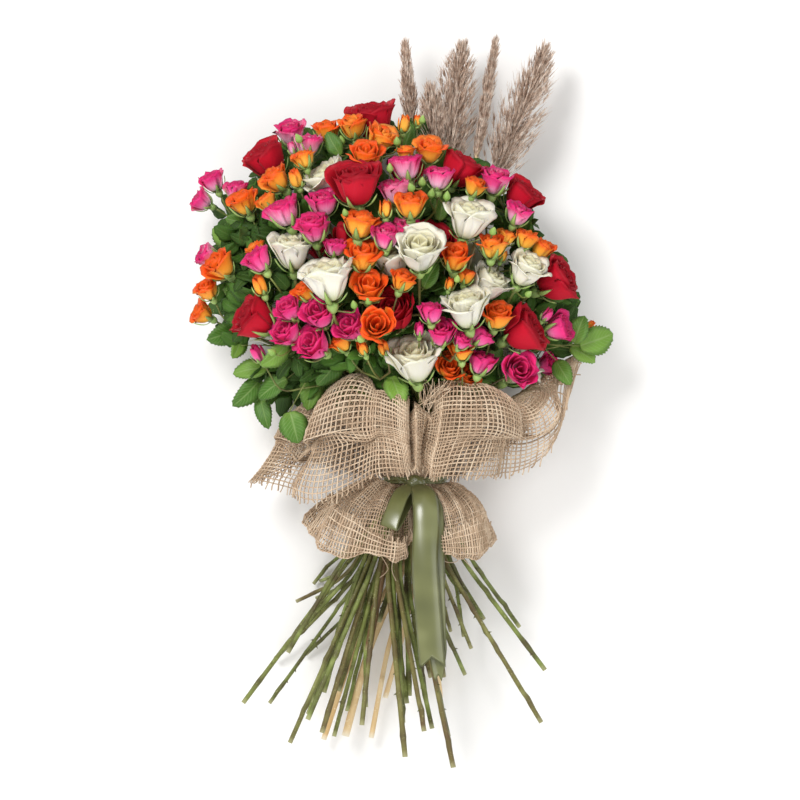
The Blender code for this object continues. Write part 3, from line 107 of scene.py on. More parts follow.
# Many tubes at once, or one, all with the same number of points. knots, cut and tint are for the material.
def tubes(paths, radii, sides, knots=0.0, cut=0.0, tint=0.0):
    paths = np.reshape(paths, (-1, *np.shape(paths)[-2:]))
    count, length = paths.shape[:2]
    radii = np.broadcast_to(radii, (count, length))
    tangent = unit(np.gradient(paths, axis=1))
    low = np.abs(tangent[:, 0, 2:]) < 0.9
    across = np.cross(tangent[:, 0], np.where(low, (0.0, 0.0, 1.0), (0.0, 1.0, 0.0)))
    angle = np.arange(sides)[:, None] * 2 * math.pi / sides
    rings = np.empty((count, length, sides, 3))
    for k in range(length):
        across = unit(across - tangent[:, k] * (across * tangent[:, k]).sum(1, keepdims=True))
        other = np.cross(tangent[:, k], across)
        spoke = across[:, None] * np.cos(angle) + other[:, None] * np.sin(angle)
        rings[:, k] = paths[:, k, None] + spoke * radii[:, k, None, None]
    first = np.arange(count)[:, None, None] * length * sides
    ring = np.arange(length - 1)[:, None] * sides
    spoke = np.arange(sides)
    after = (spoke + 1) % sides
    corners = (ring + spoke, ring + after, ring + sides + after, ring + sides + spoke)
    walls = np.stack([first + corner for corner in corners], -1).reshape(-1, 4)
    bottom = first[:, 0] + spoke[::-1]
    top = first[:, 0] + (length - 1) * sides + spoke
    grade = np.zeros((count, length, 5))
    for k, value in enumerate((knots, cut, tint)):
        grade[..., k + 1] = value
    return rings.reshape(-1, 3), [walls, bottom, top], np.repeat(grade[:, :, None], sides, 2).reshape(-1, 5)


# The walls between closed rings of points, and the points' numbers by ring and side.
def ringWalls(rings, sides):
    index = np.arange(rings * sides).reshape(rings, sides)
    after = np.roll(index, -1, 1)
    return np.stack((index[:-1], after[:-1], after[1:], index[1:]), -1).reshape(-1, 4), index


# Meshes made together as one: each is its points, its lists of faces and its grades.
def together(shapes):
    points, grades, faces, start = [], [], {}, 0
    for where, lists, grade in shapes:
        for rows in lists:
            faces.setdefault(rows.shape[1], []).append(rows + start)
        points.append(where)
        grades.append(grade)
        start += len(where)
    return np.concatenate(points), [np.concatenate(rows) for rows in faces.values()], np.concatenate(grades)


def addObject(name, data):
    item = bpy.data.objects.new(name, data)
    bpy.context.scene.collection.objects.link(item)
    return item


# One named piece of the bouquet, from points in millimetres, faces and what its material reads at each point.
def makePiece(name, shape, material, nodes=()):
    points, lists, grades = shape
    points[:, 2] = np.maximum(points[:, 2], 0.2)  # what would sink into the surface is pressed flat on it
    mesh = bpy.data.meshes.new(name)
    mesh.vertices.add(len(points))
    mesh.vertices.foreach_set("co", (points * millimetre).astype(np.float32).ravel())
    corners = np.concatenate([rows.ravel() for rows in lists]).astype(np.int32)
    sizes = np.concatenate([np.full(len(rows), rows.shape[1]) for rows in lists])
    mesh.loops.add(len(corners))
    mesh.loops.foreach_set("vertex_index", corners)
    mesh.polygons.add(len(sizes))
    mesh.polygons.foreach_set("loop_start", np.concatenate(([0], np.cumsum(sizes)[:-1])).astype(np.int32))
    mesh.update(calc_edges=True)
    mesh.shade_smooth()
    colour = mesh.attributes.new("grade", "FLOAT_COLOR", "POINT")
    colour.data.foreach_set("color", grades[:, :4].astype(np.float32).ravel())
    inside = mesh.attributes.new("inside", "FLOAT", "POINT")
    inside.data.foreach_set("value", grades[:, 4].astype(np.float32))
    mesh.materials.append(material)
    piece = addObject(name, mesh)
    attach(piece, "root")
    if nodes:
        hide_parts(*nodes)
    return piece


# Material building


def toLinear(code):
    values = [int(code[i:i + 2], 16) / 255 for i in (1, 3, 5)]
    return [v / 12.92 if v <= 0.04045 else ((v + 0.055) / 1.055) ** 2.4 for v in values] + [1.0]


# The outputs that are used where it isn't the first: a mix's colour and an object's own coordinates.
usedOutput = {"ShaderNodeMix": 2, "ShaderNodeTexCoord": 3}


# Adds a node. A setting is for an input's name or number, a property's name, or the stops of a colour ramp.
# A link is an output, or a node whose used output it takes.
def addNode(tree, kind, settings=None, links=None):
    node = tree.nodes.new("ShaderNode" + kind)
    for key, value in (settings or {}).items():
        if isinstance(value, str) and value[0] == "#":
            value = toLinear(value)
        if key == "stops":
            ramp = node.color_ramp.elements
            while len(ramp) < len(value):
                ramp.new(0.5)
            for stop, (place, code) in zip(ramp, value):
                stop.position = place
                stop.color = toLinear(code)
        elif isinstance(key, int) or key in node.inputs:
            node.inputs[key].default_value = value
        else:
            setattr(node, key, value)
    for key, source in (links or {}).items():
        if isinstance(source, bpy.types.Node):
            source = source.outputs[usedOutput.get(source.bl_idname, 0)]
        tree.links.new(source, node.inputs[key])
    return node


def newMaterial(name):
    material = bpy.data.materials.new(name)
    material.use_nodes = True
    material.node_tree.nodes.clear()
    return material, material.node_tree


# The values at a point: how far along and across it lies, its layer, its tint, and on which skin it is.
def readGrade(tree):
    grade = addNode(tree, "Attribute", {"attribute_name": "grade"})
    skin = addNode(tree, "Attribute", {"attribute_name": "inside"})
    parts = addNode(tree, "SeparateColor", links={0: grade})
    return (*parts.outputs, grade.outputs["Alpha"], skin.outputs["Fac"])


def finishMaterial(material, settings, links=None):
    shader = addNode(material.node_tree, "BsdfPrincipled", settings, links)
    addNode(material.node_tree, "OutputMaterial", links={"Surface": shader})
    return material


# Rose petal: thin, soft, full of water. Light goes into it and the velvet of its cells spreads the gloss.
def petalMaterial(name, look):
    material, tree = newMaterial(name)
    along, across, layer, tint, inside = readGrade(tree)
    # veins fan out from the petal's foot, about one each 1.5 mm
    sweep = addNode(tree, "Math", {"operation": "MULTIPLY", 1: look["veins"]}, {0: across})
    slow = addNode(tree, "Math", {"operation": "MULTIPLY", 1: 1.6}, {0: along})
    shift = addNode(tree, "Math", {"operation": "MULTIPLY", 1: 37.0}, {0: tint})
    place = addNode(tree, "CombineXYZ", links={0: sweep, 1: slow, 2: shift})
    vein = addNode(tree, "TexNoise", {"Scale": 1.0, "Roughness": 0.6}, {"Vector": place})
    blotch = addNode(tree, "TexNoise", {"Scale": 160.0})
    wobble = addNode(tree, "Math", {"operation": "MULTIPLY_ADD", 1: look["uneven"], 2: -look["uneven"] / 2},
                     {0: vein})
    reach = addNode(tree, "Math", {"operation": "ADD"}, {0: along, 1: wobble})
    outer = addNode(tree, "ValToRGB", {"stops": look["outer"]}, {0: reach})
    inner = addNode(tree, "ValToRGB", {"stops": look["inner"]}, {0: reach})
    skin = addNode(tree, "Mix", {"data_type": "RGBA"}, {0: inside, 6: outer, 7: inner})
    # the heart is deeper in colour than the outer petals
    heart = addNode(tree, "MapRange", {1: 0.75, 2: 0.1, 4: look["heartShare"]}, {0: layer})
    deep = addNode(tree, "Mix", {"data_type": "RGBA", 7: look["heart"]}, {0: heart, 6: skin})
    # an upper, younger head is paler from its foot up
    youth = addNode(tree, "Math", {"operation": "MULTIPLY_ADD", 1: -0.85}, {0: reach, 2: tint})
    fade = addNode(tree, "MapRange", {1: 0.0, 2: 0.6, 4: look["paleShare"]}, {0: youth})
    other = addNode(tree, "Mix", {"data_type": "RGBA", 7: look["pale"]}, {0: fade, 6: deep})
    patch = addNode(tree, "MapRange", {1: 0.35, 2: 0.7, 4: look["patch"]}, {0: blotch})
    worn = addNode(tree, "Mix", {"data_type": "RGBA", "blend_type": "MULTIPLY", 7: look["drift"]},
                   {0: patch, 6: other})
    bump = addNode(tree, "Bump", {"Strength": look["bump"], "Distance": 0.0004}, {"Height": vein})
    return finishMaterial(material, {
        "Roughness": look["roughness"], "IOR": 1.4, "Subsurface Weight": look["through"],
        "Subsurface Radius": look["throughRadius"], "Subsurface Scale": 0.0016,
        "Sheen Weight": look["sheen"], "Sheen Roughness": 0.4, "Sheen Tint": look["sheenTint"],
        "Specular IOR Level": look["gloss"],
    }, {"Base Color": worn, "Normal": bump})


# Layout of the bunch: the same as in the model's own drawing


# Heads of roses: pixel across and down, radius, and layer, which is less than 0 deeper in the bunch. Then, if
# the photograph shows how a head faces, its angle in the picture and its lift toward the viewer.
redRoses = (
    (267, 160, 26, 0, 122, 6), (372, 120, 27, -0.6, 96, 4), (355, 197, 30, 0, 96, 14),
    (459, 173, 25, 0, 62, 2), (519, 199, 22, 0, 52, 6), (345, 240, 18, -1, 100, 10),
    (440, 243, 24, -1, 70, 20), (257, 320, 27, 0, 148, 4), (397, 315, 26, -0.3, 118, 42),
    (555, 281, 27, 0, 30, 8), (522, 334, 28, 0, 28, 10),
)
whiteRoses = (
    (325, 180, 26, -0.5, 128, 6), (288, 255, 25, -0.5, 96, 10), (331, 285, 29, 0, 98, 8),
    (416, 257, 27, 0, 88, 30), (393, 262, 22, -1, 100, 20), (466, 227, 26, 0, 76, 10),
    (465, 306, 26, 0, 98, 14), (494, 289, 23, -0.5, 60, 8), (520, 272, 23, 0, 60, 14),
    (417, 357, 29, 0, 98, 24), (517, 367, 25, -0.7, 48, 12),
)

# Sprays, each of several such heads.
orangeSprays = (
    ((327, 133, 14, -0.5, 100, 8), (354, 129, 15, 0, 104, 12), (379, 143, 16, 0, 62, 16),
     (367, 160, 18, 0, 92, 26)),
    ((404, 126, 11, 0, 84, 4), (417, 122, 7, 0), (408, 157, 10, 0), (431, 156, 16, 0, 88, 14),
     (472, 188, 12, 0, 74, 6)),
    ((311, 168, 12, 0), (295, 181, 12, 0, 110, 8), (279, 186, 16, 0, 132, 8),
     (270, 201, 11, -0.5, 128, 4), (245, 205, 16, 0, 118, 10)),
    ((388, 210, 11, 0, 88, 0), (408, 215, 16, 0, 92, 10), (365, 223, 18, 0, 82, 4)),
    ((259, 252, 11, -0.6), (222, 268, 17, 0, 138, 14), (209, 291, 13, 0, 120, 20),
     (203, 314, 13, 0, 150, 10), (262, 285, 13, 0, 112, 0)),
    ((363, 260, 18, 0, 90, 22), (368, 290, 18, 0, 86, 38), (382, 323, 18, 0, 80, 66),
     (307, 297, 12, 0, 120, 12)),
    ((363, 349, 10, 0), (387, 350, 10, 0), (342, 344, 12, -0.8)),
    ((408, 279, 13, 0, 72, 10), (454, 263, 17, 0, 84, 24), (452, 291, 8, 0), (468, 278, 10, -0.8)),
    ((490, 247, 15, 0, 84, 10), (507, 241, 10, -0.3), (522, 243, 12, 0, 74, 6), (538, 250, 13, 0, 60, 6),
     (502, 258, 8, -0.7)),
    ((492, 318, 16, 0, 74, 20), (461, 350, 13, 0, 92, 10), (446, 368, 15, 0, 70, 50),
     (468, 374, 14, 0, 60, 46)),
    ((589, 326, 8, 0),),
)
pinkSprays = (
    ((291, 134, 16, 0, 102, 14), (309, 148, 14, 0, 88, 4), (293, 150, 8, 0)),
    ((213, 183, 13, 0, 116, 4), (203, 200, 12, 0, 150, 6), (238, 192, 12, -0.3, 96, 4)),
    ((286, 216, 18, 0, 116, 4), (327, 207, 16, 0, 94, 14), (316, 228, 18, 0, 102, 18)),
    ((405, 174, 16, 0, 96, 4), (394, 194, 16, 0, 100, 8), (440, 181, 15, 0, 84, 2)),
    ((493, 184, 17, 0, 76, 8), (517, 215, 14, 0, 66, 6)),
    ((384, 239, 15, 0, 84, 16), (411, 234, 15, -0.2, 88, 14), (336, 253, 11, 0, 90, 12)),
    ((267, 263, 15, 0, 126, 4), (209, 257, 13, 0, 150, 6)),
    ((325, 308, 18, 0, 112, 42), (292, 312, 14, 0, 122, 26), (287, 331, 16, 0, 132, 30),
     (314, 324, 9, -0.9)),
    ((317, 344, 19, 0, 142, 36), (353, 329, 17, 0, 134, 36), (259, 354, 12, 0, 120, 8)),
    ((432, 319, 13, 0, 94, 8), (441, 334, 15, 0, 90, 30), (456, 337, 10, 0, 62, 20), (414, 326, 9, -0.5)),
    ((479, 336, 13, 0, 52, 2), (478, 366, 15, 0, 72, 10), (510, 358, 18, 0, 30, 62)),
    ((556, 328, 16, 0, 16, 10), (543, 314, 9, -0.9), (548, 366, 13, 0.6, 20, 20)),
)

# Roses at the back, with their height and colour.
backRoses = (
    (330, 250, 25, 22.5, "red"), (482, 262, 25, 22.5, "white"), (408, 168, 24, 34.0, "red"),
    (272, 330, 24, 36.0, "white"),
)

# Stems under the wrap: the pixel where they leave it, the pixel and height of their cut end, their radius.
shownStems = (
    (326, 563, 296, 602, 52, 2.6), (334, 562, 243, 703, 74, 3.4), (345, 562, 288, 652, 96, 3.2),
    (350, 565, 269, 704, 58, 2.8), (353, 566, 290, 742, 100, 3.4), (357, 566, 308, 718, 116, 3.6),
    (367, 575, 322, 732, 98, 3.8), (362, 566, 362, 723, 128, 3.6), (376, 575, 334, 736, 84, 3.2),
    (385, 575, 368, 650, 100, 4.0), (391, 565, 405, 755, 124, 4.4), (397, 568, 403, 722, 100, 3.4),
    (405, 565, 424, 730, 110, 3.6), (410, 570, 432, 728, 92, 3.4), (402, 580, 428, 712, 74, 3.0),
    (420, 575, 453, 766, 116, 3.8), (438, 565, 465, 675, 70, 3.0), (446, 572, 471, 648, 92, 2.8),
    (446, 562, 541, 722, 90, 3.4), (452, 566, 484, 620, 56, 3.2), (464, 562, 545, 670, 80, 3.4),
    (440, 575, 444, 678, 50, 3.0), (341, 565, 309, 616, 44, 2.8),
)

# The rings that the stems stand in at the tie: how many, and the ring's radius.
slotRings = ((1, 0.0), (6, 6.2), (12, 12.4), (18, 18.6), (12, 23.4))

# Reed plumes: the pixels of tip and foot, their heights, half the width, and the cane's cut end as pixel,
# height and radius.
plumes = (
    (405, 40, 411, 130, 66, 72, 9, 323, 742, 20, 3.4),
    (430, 84, 436, 165, 84, 80, 17, 345, 738, 26, 4.6),
    (463, 40, 447, 165, 60, 70, 26, 371, 740, 22, 3.2),
    (497, 37, 481, 130, 84, 78, 10, 385, 700, 14, 3.2),
    (549, 42, 496, 178, 64, 70, 27, 441, 700, 18, 3.0),
)

# Leaves that show: pixel, height, length, width and the way they point, in degrees.
shownLeaves = (
    (225, 238, 100, 42, 26, 150), (240, 256, 105, 42, 26, 160), (262, 215, 112, 36, 22, 120),
    (222, 335, 90, 38, 26, 200), (240, 345, 80, 32, 22, 250), (250, 370, 108, 40, 24, 190),
    (248, 393, 98, 46, 26, 225), (264, 412, 92, 40, 20, 285), (272, 388, 116, 42, 26, 215),
    (295, 427, 150, 38, 34, 285), (597, 340, 100, 44, 34, 20), (578, 330, 112, 34, 26, 70),
    (583, 354, 96, 34, 26, 330), (562, 372, 118, 36, 22, 300), (515, 292, 165, 34, 22, 45),
    (442, 213, 185, 34, 22, 80), (413, 140, 130, 34, 20, 70), (330, 145, 120, 32, 20, 120),
    (430, 277, 205, 34, 22, 60), (396, 385, 168, 42, 28, 290), (374, 366, 165, 44, 26, 250),
    (490, 352, 172, 34, 22, 270), (478, 388, 120, 44, 22, 200), (312, 390, 128, 48, 28, 260),
    (342, 398, 104, 46, 26, 275), (288, 352, 140, 40, 26, 220), (330, 372, 155, 42, 26, 230),
    (238, 292, 128, 34, 24, 180), (240, 222, 116, 32, 22, 170), (300, 345, 60, 46, 28, 230),
)

# Ribs of the wrap: degrees round the bunch, then pairs of distance from its axis and place along it, for the
# collar and then for the skirt.
burlapRibs = (
    (0, (46, 34, 62, 62, 76, 76, 88, 66, 88, 40, 76, 16), (44, -28, 48, -52, 50, -70)),
    (15, (46, 36, 64, 68, 80, 88, 94, 78, 96, 48, 86, 14), (45, -28, 51, -56, 55, -82)),
    (28, (46, 38, 64, 76, 84, 102, 98, 92, 100, 52, 86, 8), (50, -22, 68, -50, 78, -90)),
    (42, (46, 38, 78, 78, 104, 100, 122, 88, 126, 50, 104, 2), (54, -18, 80, -46, 90, -94)),
    (56, (48, 36, 84, 78, 118, 100, 138, 86, 140, 46, 120, 0), (55, -16, 84, -42, 94, -90)),
    (70, (50, 34, 88, 72, 128, 94, 148, 80, 150, 46, 134, 10), (53, -16, 80, -40, 92, -80)),
    (80, (50, 34, 90, 68, 132, 92, 156, 92, 164, 76, 158, 52), (52, -18, 74, -42, 88, -76)),
    (89, (50, 34, 88, 64, 124, 88, 154, 110, 180, 132, 200, 147), (52, -20, 72, -44, 86, -78)),
    (102, (48, 34, 80, 66, 108, 88, 130, 98, 148, 100, 160, 96), (50, -24, 70, -50, 85, -82)),
    (122, (46, 34, 70, 66, 90, 84, 108, 80, 122, 60, 132, 34), (50, -28, 72, -56, 92, -86)),
    (145, (44, 34, 60, 64, 76, 82, 86, 76, 93, 48, 94, 4), (48, -30, 72, -60, 90, -88)),
    (165, (43, 34, 56, 62, 70, 80, 77, 74, 80, 44, 80, -8), (46, -30, 66, -60, 78, -88)),
    (180, (43, 34, 56, 62, 69, 80, 76, 74, 79, 44, 79, -10), (46, -30, 66, -60, 77, -88)),
    (195, (43, 34, 56, 62, 70, 80, 77, 74, 80, 44, 80, -8), (46, -30, 66, -60, 78, -88)),
    (215, (44, 34, 60, 64, 76, 82, 86, 76, 93, 48, 94, 4), (48, -28, 72, -56, 92, -86)),
    (238, (46, 32, 72, 64, 92, 84, 112, 78, 130, 50, 140, 14), (50, -22, 80, -42, 102, -66)),
    (260, (48, 30, 78, 62, 104, 82, 128, 70, 150, 34, 164, -6), (54, -16, 88, -30, 114, -46)),
    (280, (48, 30, 80, 62, 104, 84, 130, 70, 154, 28, 170, -16), (60, -15, 98, -32, 124, -54)),
    (296, (48, 34, 80, 74, 100, 96, 122, 82, 142, 34, 158, -22), (64, -18, 106, -40, 128, -76)),
    (310, (46, 38, 78, 86, 98, 112, 118, 98, 134, 44, 142, -24), (62, -22, 98, -50, 118, -90)),
    (324, (46, 38, 74, 88, 95, 114, 114, 100, 126, 46, 124, -8), (56, -25, 80, -55, 96, -94)),
    (342, (46, 36, 66, 72, 84, 92, 100, 80, 106, 46, 98, 8), (46, -28, 56, -56, 64, -96)),
)

bunch = {
    "burlapThick": 2.0, "caneAngles": (210, 195, 180, 165, 150), "caneRadius": 2.9, "caneRing": 25.6,
    "clearRounds": 400, "cupLength": 10.0, "cupShare": 0.27, "domeAcross": 222.0,
    "domeCentre": (-30.0, 230.0, 80.0), "domeDown": 150.0, "domeFront": 145.0, "domeUp": 190.0,
    "focus": np.array((0.0, 40.0, 80.0)), "footShare": 0.95, "gap": 0.3, "jointDepth": 48.0,
    "jointSpread": 0.75, "lastRounds": 140, "layerDepth": 15.0, "leafTries": 900, "moreLeaves": 17,
    "outerSpan": math.radians(120), "pedicelRadius": 1.6, "photoScale": 1.15, "pullBack": 0.03, "seed": 7,
    "spiralTurn": math.radians(70), "spreadRounds": 420, "stemRadius": 3.0, "tieHeight": 80.0,
    "tiePixel": (415, 480), "waistRadius": 33.0,
}


# The place in millimetres of a pixel of the photograph, at a height above the surface.
def photoPlace(px, py, height=0.0):
    tieX, tieY = bunch["tiePixel"]
    return np.array(((px - tieX) * bunch["photoScale"], (tieY - py) * bunch["photoScale"], float(height)))


# Two directions across an axis, turned about it.
def axisFrame(axis, turn=0.0):
    side = unit(np.cross(axis, (0.0, 0.0, 1.0) if abs(axis[2]) < 0.9 else (0.0, 1.0, 0.0)))
    other = np.cross(axis, side)
    return (side * math.cos(turn) + other * math.sin(turn), other * math.cos(turn) - side * math.sin(turn))


def bezier(p0, p1, p2, p3, count):
    t = np.linspace(0, 1, count)[:, None]
    return (1 - t) ** 3 * p0 + 3 * t * (1 - t) ** 2 * p1 + 3 * t**2 * (1 - t) * p2 + t**3 * p3


def domeHeight(x, y):
    middleX, middleY, middleZ = bunch["domeCentre"]
    halfY = bunch["domeUp"] if y > middleY else bunch["domeDown"]
    left = 1 - ((x - middleX) / bunch["domeAcross"]) ** 2 - ((y - middleY) / halfY) ** 2
    return middleZ + bunch["domeFront"] * math.sqrt(max(left, 0.0))


# Every bloom with its node, place, radius and colour.
def listBlooms():
    blooms = []

    def add(node, row, colour, height=None):
        px, py, radius, layer, *facing = row
        place = photoPlace(px, py)
        place[2] = domeHeight(place[0], place[1]) + layer * bunch["layerDepth"] if height is None else height
        blooms.append({"node": node, "place": place, "radius": float(radius), "colour": colour,
                       "fixed": height is not None, "seen": place[:2].copy(), "facing": facing})

    for colour, rows in (("red", redRoses), ("white", whiteRoses)):
        for i, row in enumerate(rows):
            add(f"rose_{colour}_{i + 1:02d}", row, colour)
    for i, (px, py, radius, height, colour) in enumerate(backRoses):
        add(f"rose_back_{i + 1}", (px, py, radius, 0), colour, height)
    for colour, sprays in (("orange", orangeSprays), ("pink", pinkSprays)):
        for i, rows in enumerate(sprays):
            for row in rows:
                add(f"spray_{colour}_{i + 1:02d}", row, colour)
    return blooms


# Moves the blooms apart until none touches another or the wrap, mostly in depth.
def spreadBlooms(blooms, solidPoints):
    place = np.array([b["place"] for b in blooms])
    radius = np.array([b["radius"] for b in blooms])
    loose = np.array([0.0 if b["fixed"] else 1.0 for b in blooms])
    target = place.copy()
    finder = KDTree(len(solidPoints))
    for k, point in enumerate(solidPoints):
        finder.insert(point, k)
    finder.balance()
    sideways = np.array((0.45, 0.45, 1.0))
    roses = np.array([k for k, b in enumerate(blooms) if b["node"].startswith("rose")])
    for step in range(bunch["spreadRounds"]):
        outward = unit(place[roses] - bunch["focus"])
        for depth in (3.0, 12.0):
            cups = place[roses] - outward * (radius[roses] * bunch["footShare"] + depth)[:, None]
            gap = place[:, None] - cups
            far = lengths(gap)
            far[roses, np.arange(len(roses))] = 1e6
            need = np.maximum(radius[:, None] + radius[roses] * bunch["cupShare"] + 1.5 - far, 0)
            place += (gap / far[..., None] * need[..., None]).sum(1) * loose[:, None] * 0.6
        gap = place[:, None] - place
        far = lengths(gap)
        np.fill_diagonal(far, 1e6)
        need = np.maximum(radius[:, None] + radius + 2 * bunch["gap"] - far, 0)
        way = gap * sideways
        way[..., 2] += np.where(np.abs(gap[..., 2]) < 2, np.sign(radius[:, None] - radius) * 2.0, 0)
        share = loose[:, None] / np.maximum(loose[:, None] + loose, 1)
        place += (unit(way) * (need * share)[..., None]).sum(1) * 0.6
        close = np.array([[found[1] for found in finder.find_n(p, 4)] for p in place])
        off = place[:, None] - solidPoints[close]
        apart = lengths(off)
        near = apart.argmin(1)
        rows = np.arange(len(place))
        short = np.maximum(radius + 3.0 - apart[rows, near], 0) * loose
        place += off[rows, near] / apart[rows, near][:, None] * short[:, None]
        if step < bunch["spreadRounds"] - bunch["lastRounds"]:
            place += (target - place) * bunch["pullBack"] * loose[:, None]
        place[:, 2] = np.where(loose > 0, np.maximum(place[:, 2], radius + 1.0), place[:, 2])
    for bloom, where in zip(blooms, place):
        bloom["place"] = where
        bloom["axis"] = unit(where - bunch["focus"])


# For each wanted angle one of the offered angles, both taken in order, at the shift that fits best.
def ringMatch(wanted, offered):
    first, second = np.argsort(wanted), np.argsort(offered)
    best = min(
        range(len(offered)),
        key=lambda k: np.abs(np.angle(np.exp(1j * (wanted[first] - offered[np.roll(second, k)])))).sum(),
    )
    match = np.empty(len(wanted), int)
    match[first] = np.roll(second, best)
    return match


# The slots of the bundle as lists for each ring, each slot as (x, height).
def slotPlaces():
    rings = []
    for i, (count, radius) in enumerate(slotRings):
        if i < len(slotRings) - 1:
            angles = np.arange(count) * 2 * math.pi / count + i * 0.3
        else:
            angles = np.linspace(-bunch["outerSpan"], bunch["outerSpan"], count)
        rings.append(np.stack((radius * np.sin(angles), bunch["tieHeight"] + radius * np.cos(angles)), 1))
    return rings


# Gives each stem a slot: the widest stems go to the outer rings, in order round each ring.
def matchSlots(offsets, rings, turn):
    order = np.argsort(-lengths(offsets), kind="stable")
    slots = np.zeros((len(offsets), 2))
    index = np.zeros(len(offsets), int)
    done = 0
    first = sum(len(r) for r in rings)
    for ring in reversed(rings):
        first -= len(ring)
        who = order[done:done + len(ring)]
        done += len(ring)
        mine = np.arctan2(offsets[who, 0], offsets[who, 1]) + turn
        its = np.arctan2(ring[:, 0], ring[:, 1] - bunch["tieHeight"])
        match = ringMatch(mine, its)
        slots[who] = ring[match]
        index[who] = first + match
    return slots, index


# Where the stems leave the skirt and where they end: the shown ones, then others that lie behind them.
def lowerEnds(count, rng):
    ends = []
    for px0, py0, px1, py1, height, radius in shownStems:
        ends.append((photoPlace(px0, py0), photoPlace(px1, py1, height), radius))
    shown = len(ends)
    while len(ends) < count:
        leave, end, radius = ends[(len(ends) * 5) % shown]
        end = end * (1 - rng.uniform(0.06, 0.22)) + (rng.uniform(-7, 7), 0, 0)
        end[2] = max(9.0, ends[(len(ends) * 5) % shown][1][2] - rng.uniform(34, 62))
        ends.append((leave + (rng.uniform(-5, 5), 0, 0), end, radius * 0.9))
    for leave, end, _ in ends:
        leave[2] = bunch["tieHeight"] + (end[2] - bunch["tieHeight"]) * min(0.75, leave[1] / end[1])
    return ends


# Where a spray's pedicels meet: the place near the usual one from which they reach their blooms freely.
def chooseJoint(middle, axis, depth, mine, blooms, joints, solidPoints):
    others = [b for b in blooms if b["node"] != mine[0]["node"]]
    feet = [b["foot"] - b["axis"] * down
            for b in others if b["node"].startswith("rose") for down in (0, 7, 14)]
    spots = np.array([b["place"] for b in others] + feet + joints)
    keepOff = np.array([b["radius"] + 5 for b in others] + [12.0] * len(feet) + [14.0] * len(joints))
    side, other = axisFrame(axis)
    best, least = None, 1e9
    for down in (1.0, 0.85, 1.2, 0.7, 1.4):
        for across in (0.0, 12.0, 24.0):
            for turn in range(8 if across else 1):
                angle = turn * math.pi / 4
                joint = middle - axis * depth * down
                joint = joint + (side * math.cos(angle) + other * math.sin(angle)) * across
                ends = [b["place"] - b["axis"] * (b["radius"] + 1) for b in mine] + [joint - axis * 14]
                run = np.concatenate([segmentPoints(joint, end, 4.0)[:-1] for end in ends])
                far = lengths(run[:, None] - spots)
                cost = np.maximum(keepOff - far, 0).max(1).sum()
                near = solidPoints[((solidPoints > run.min(0) - 9) & (solidPoints < run.max(0) + 9)).all(1)]
                if len(near):
                    cost += np.maximum(9 - lengths(run[:, None] - near).min(1), 0).sum()
                cost += abs(down - 1) * 20 + across * 0.5
                # a pedicel that turns back would run along its own stem
                cost += sum(max(0.6 - np.dot(unit(end - joint), axis), 0) * 60 for end in ends[:-1])
                if cost < least:
                    best, least = joint, cost
    return best


# The lines that everything hangs on: rose stems, spray stems and the pedicels inside each spray.
def layOutStems(blooms, solidPoints, rng):
    heads = []  # what each stem carries: node, where its line ends, the way it points
    pedicels, joints = [], []
    for bloom in blooms:
        bloom["foot"] = bloom["place"] - bloom["axis"] * bloom["radius"] * bunch["footShare"]
    for node in dict.fromkeys(b["node"] for b in blooms):
        mine = [b for b in blooms if b["node"] == node]
        if node.startswith("rose"):
            heads.append((node, mine[0]["foot"], mine[0]["axis"]))
            continue
        middle = np.mean([b["place"] for b in mine], 0)
        axis = unit(middle - bunch["focus"])
        spread = max(lengths(b["place"] - middle) for b in mine)
        depth = bunch["jointDepth"] + bunch["jointSpread"] * spread
        joint = chooseJoint(middle, axis, depth, mine, blooms, joints, solidPoints)
        joints.append(joint)
        heads.append((node, joint - axis * bunch["cupLength"], axis))
        for bloom in mine:
            foot = bloom["place"] - bloom["axis"] * (bloom["radius"] + 1.0)
            reach = lengths(foot - joint)
            line = bezier(joint, joint + axis * reach * 0.4, foot - bloom["axis"] * reach * 0.35, foot, 3)
            pedicels.append({"node": node, "owner": node, "points": line, "free": np.array((0.0, 1.0, 0.0)),
                             "radius": bunch["pedicelRadius"] + 0.7, "bloom": bloom})
    ends = lowerEnds(len(heads), rng)
    rings = slotPlaces()
    up = np.array([((h[1][0]) / h[1][1], (h[1][2] - bunch["tieHeight"]) / h[1][1]) for h in heads])
    down = np.array([(e[1][0] / -e[1][1], (e[1][2] - bunch["tieHeight"]) / -e[1][1]) for e in ends])
    slots, slotOfHead = matchSlots(up, rings, bunch["spiralTurn"])
    _, slotOfEnd = matchSlots(down, rings, -bunch["spiralTurn"])
    endOfSlot = {slot: k for k, slot in enumerate(slotOfEnd)}
    stems = []
    for (node, top, axis), slot, index in zip(heads, slots, slotOfHead):
        leave, end, radius = ends[endOfSlot[index]]
        waist = np.array((slot[0], 0.0, slot[1]))
        way = unit(unit(top - waist) + unit(waist - leave) + (0.0, 0.7, 0.0))
        cup = top - axis * bunch["cupLength"]
        reach = lengths(cup - waist)
        upper = bezier(waist, waist + way * reach * 0.35, cup - axis * reach * 0.3, cup, 4)
        bend = np.array((rng.uniform(-4, 4), 0, rng.uniform(-3, 3)))
        points = np.array((end, leave + bend, *upper, top))
        stems.append({"node": "stems", "owner": node, "points": points, "axis": axis, "size": radius,
                      "free": np.array((0, 0.6, 0, 1, 1, 0, 0.0)), "radius": bunch["stemRadius"] + 0.8})
    return stems, pedicels


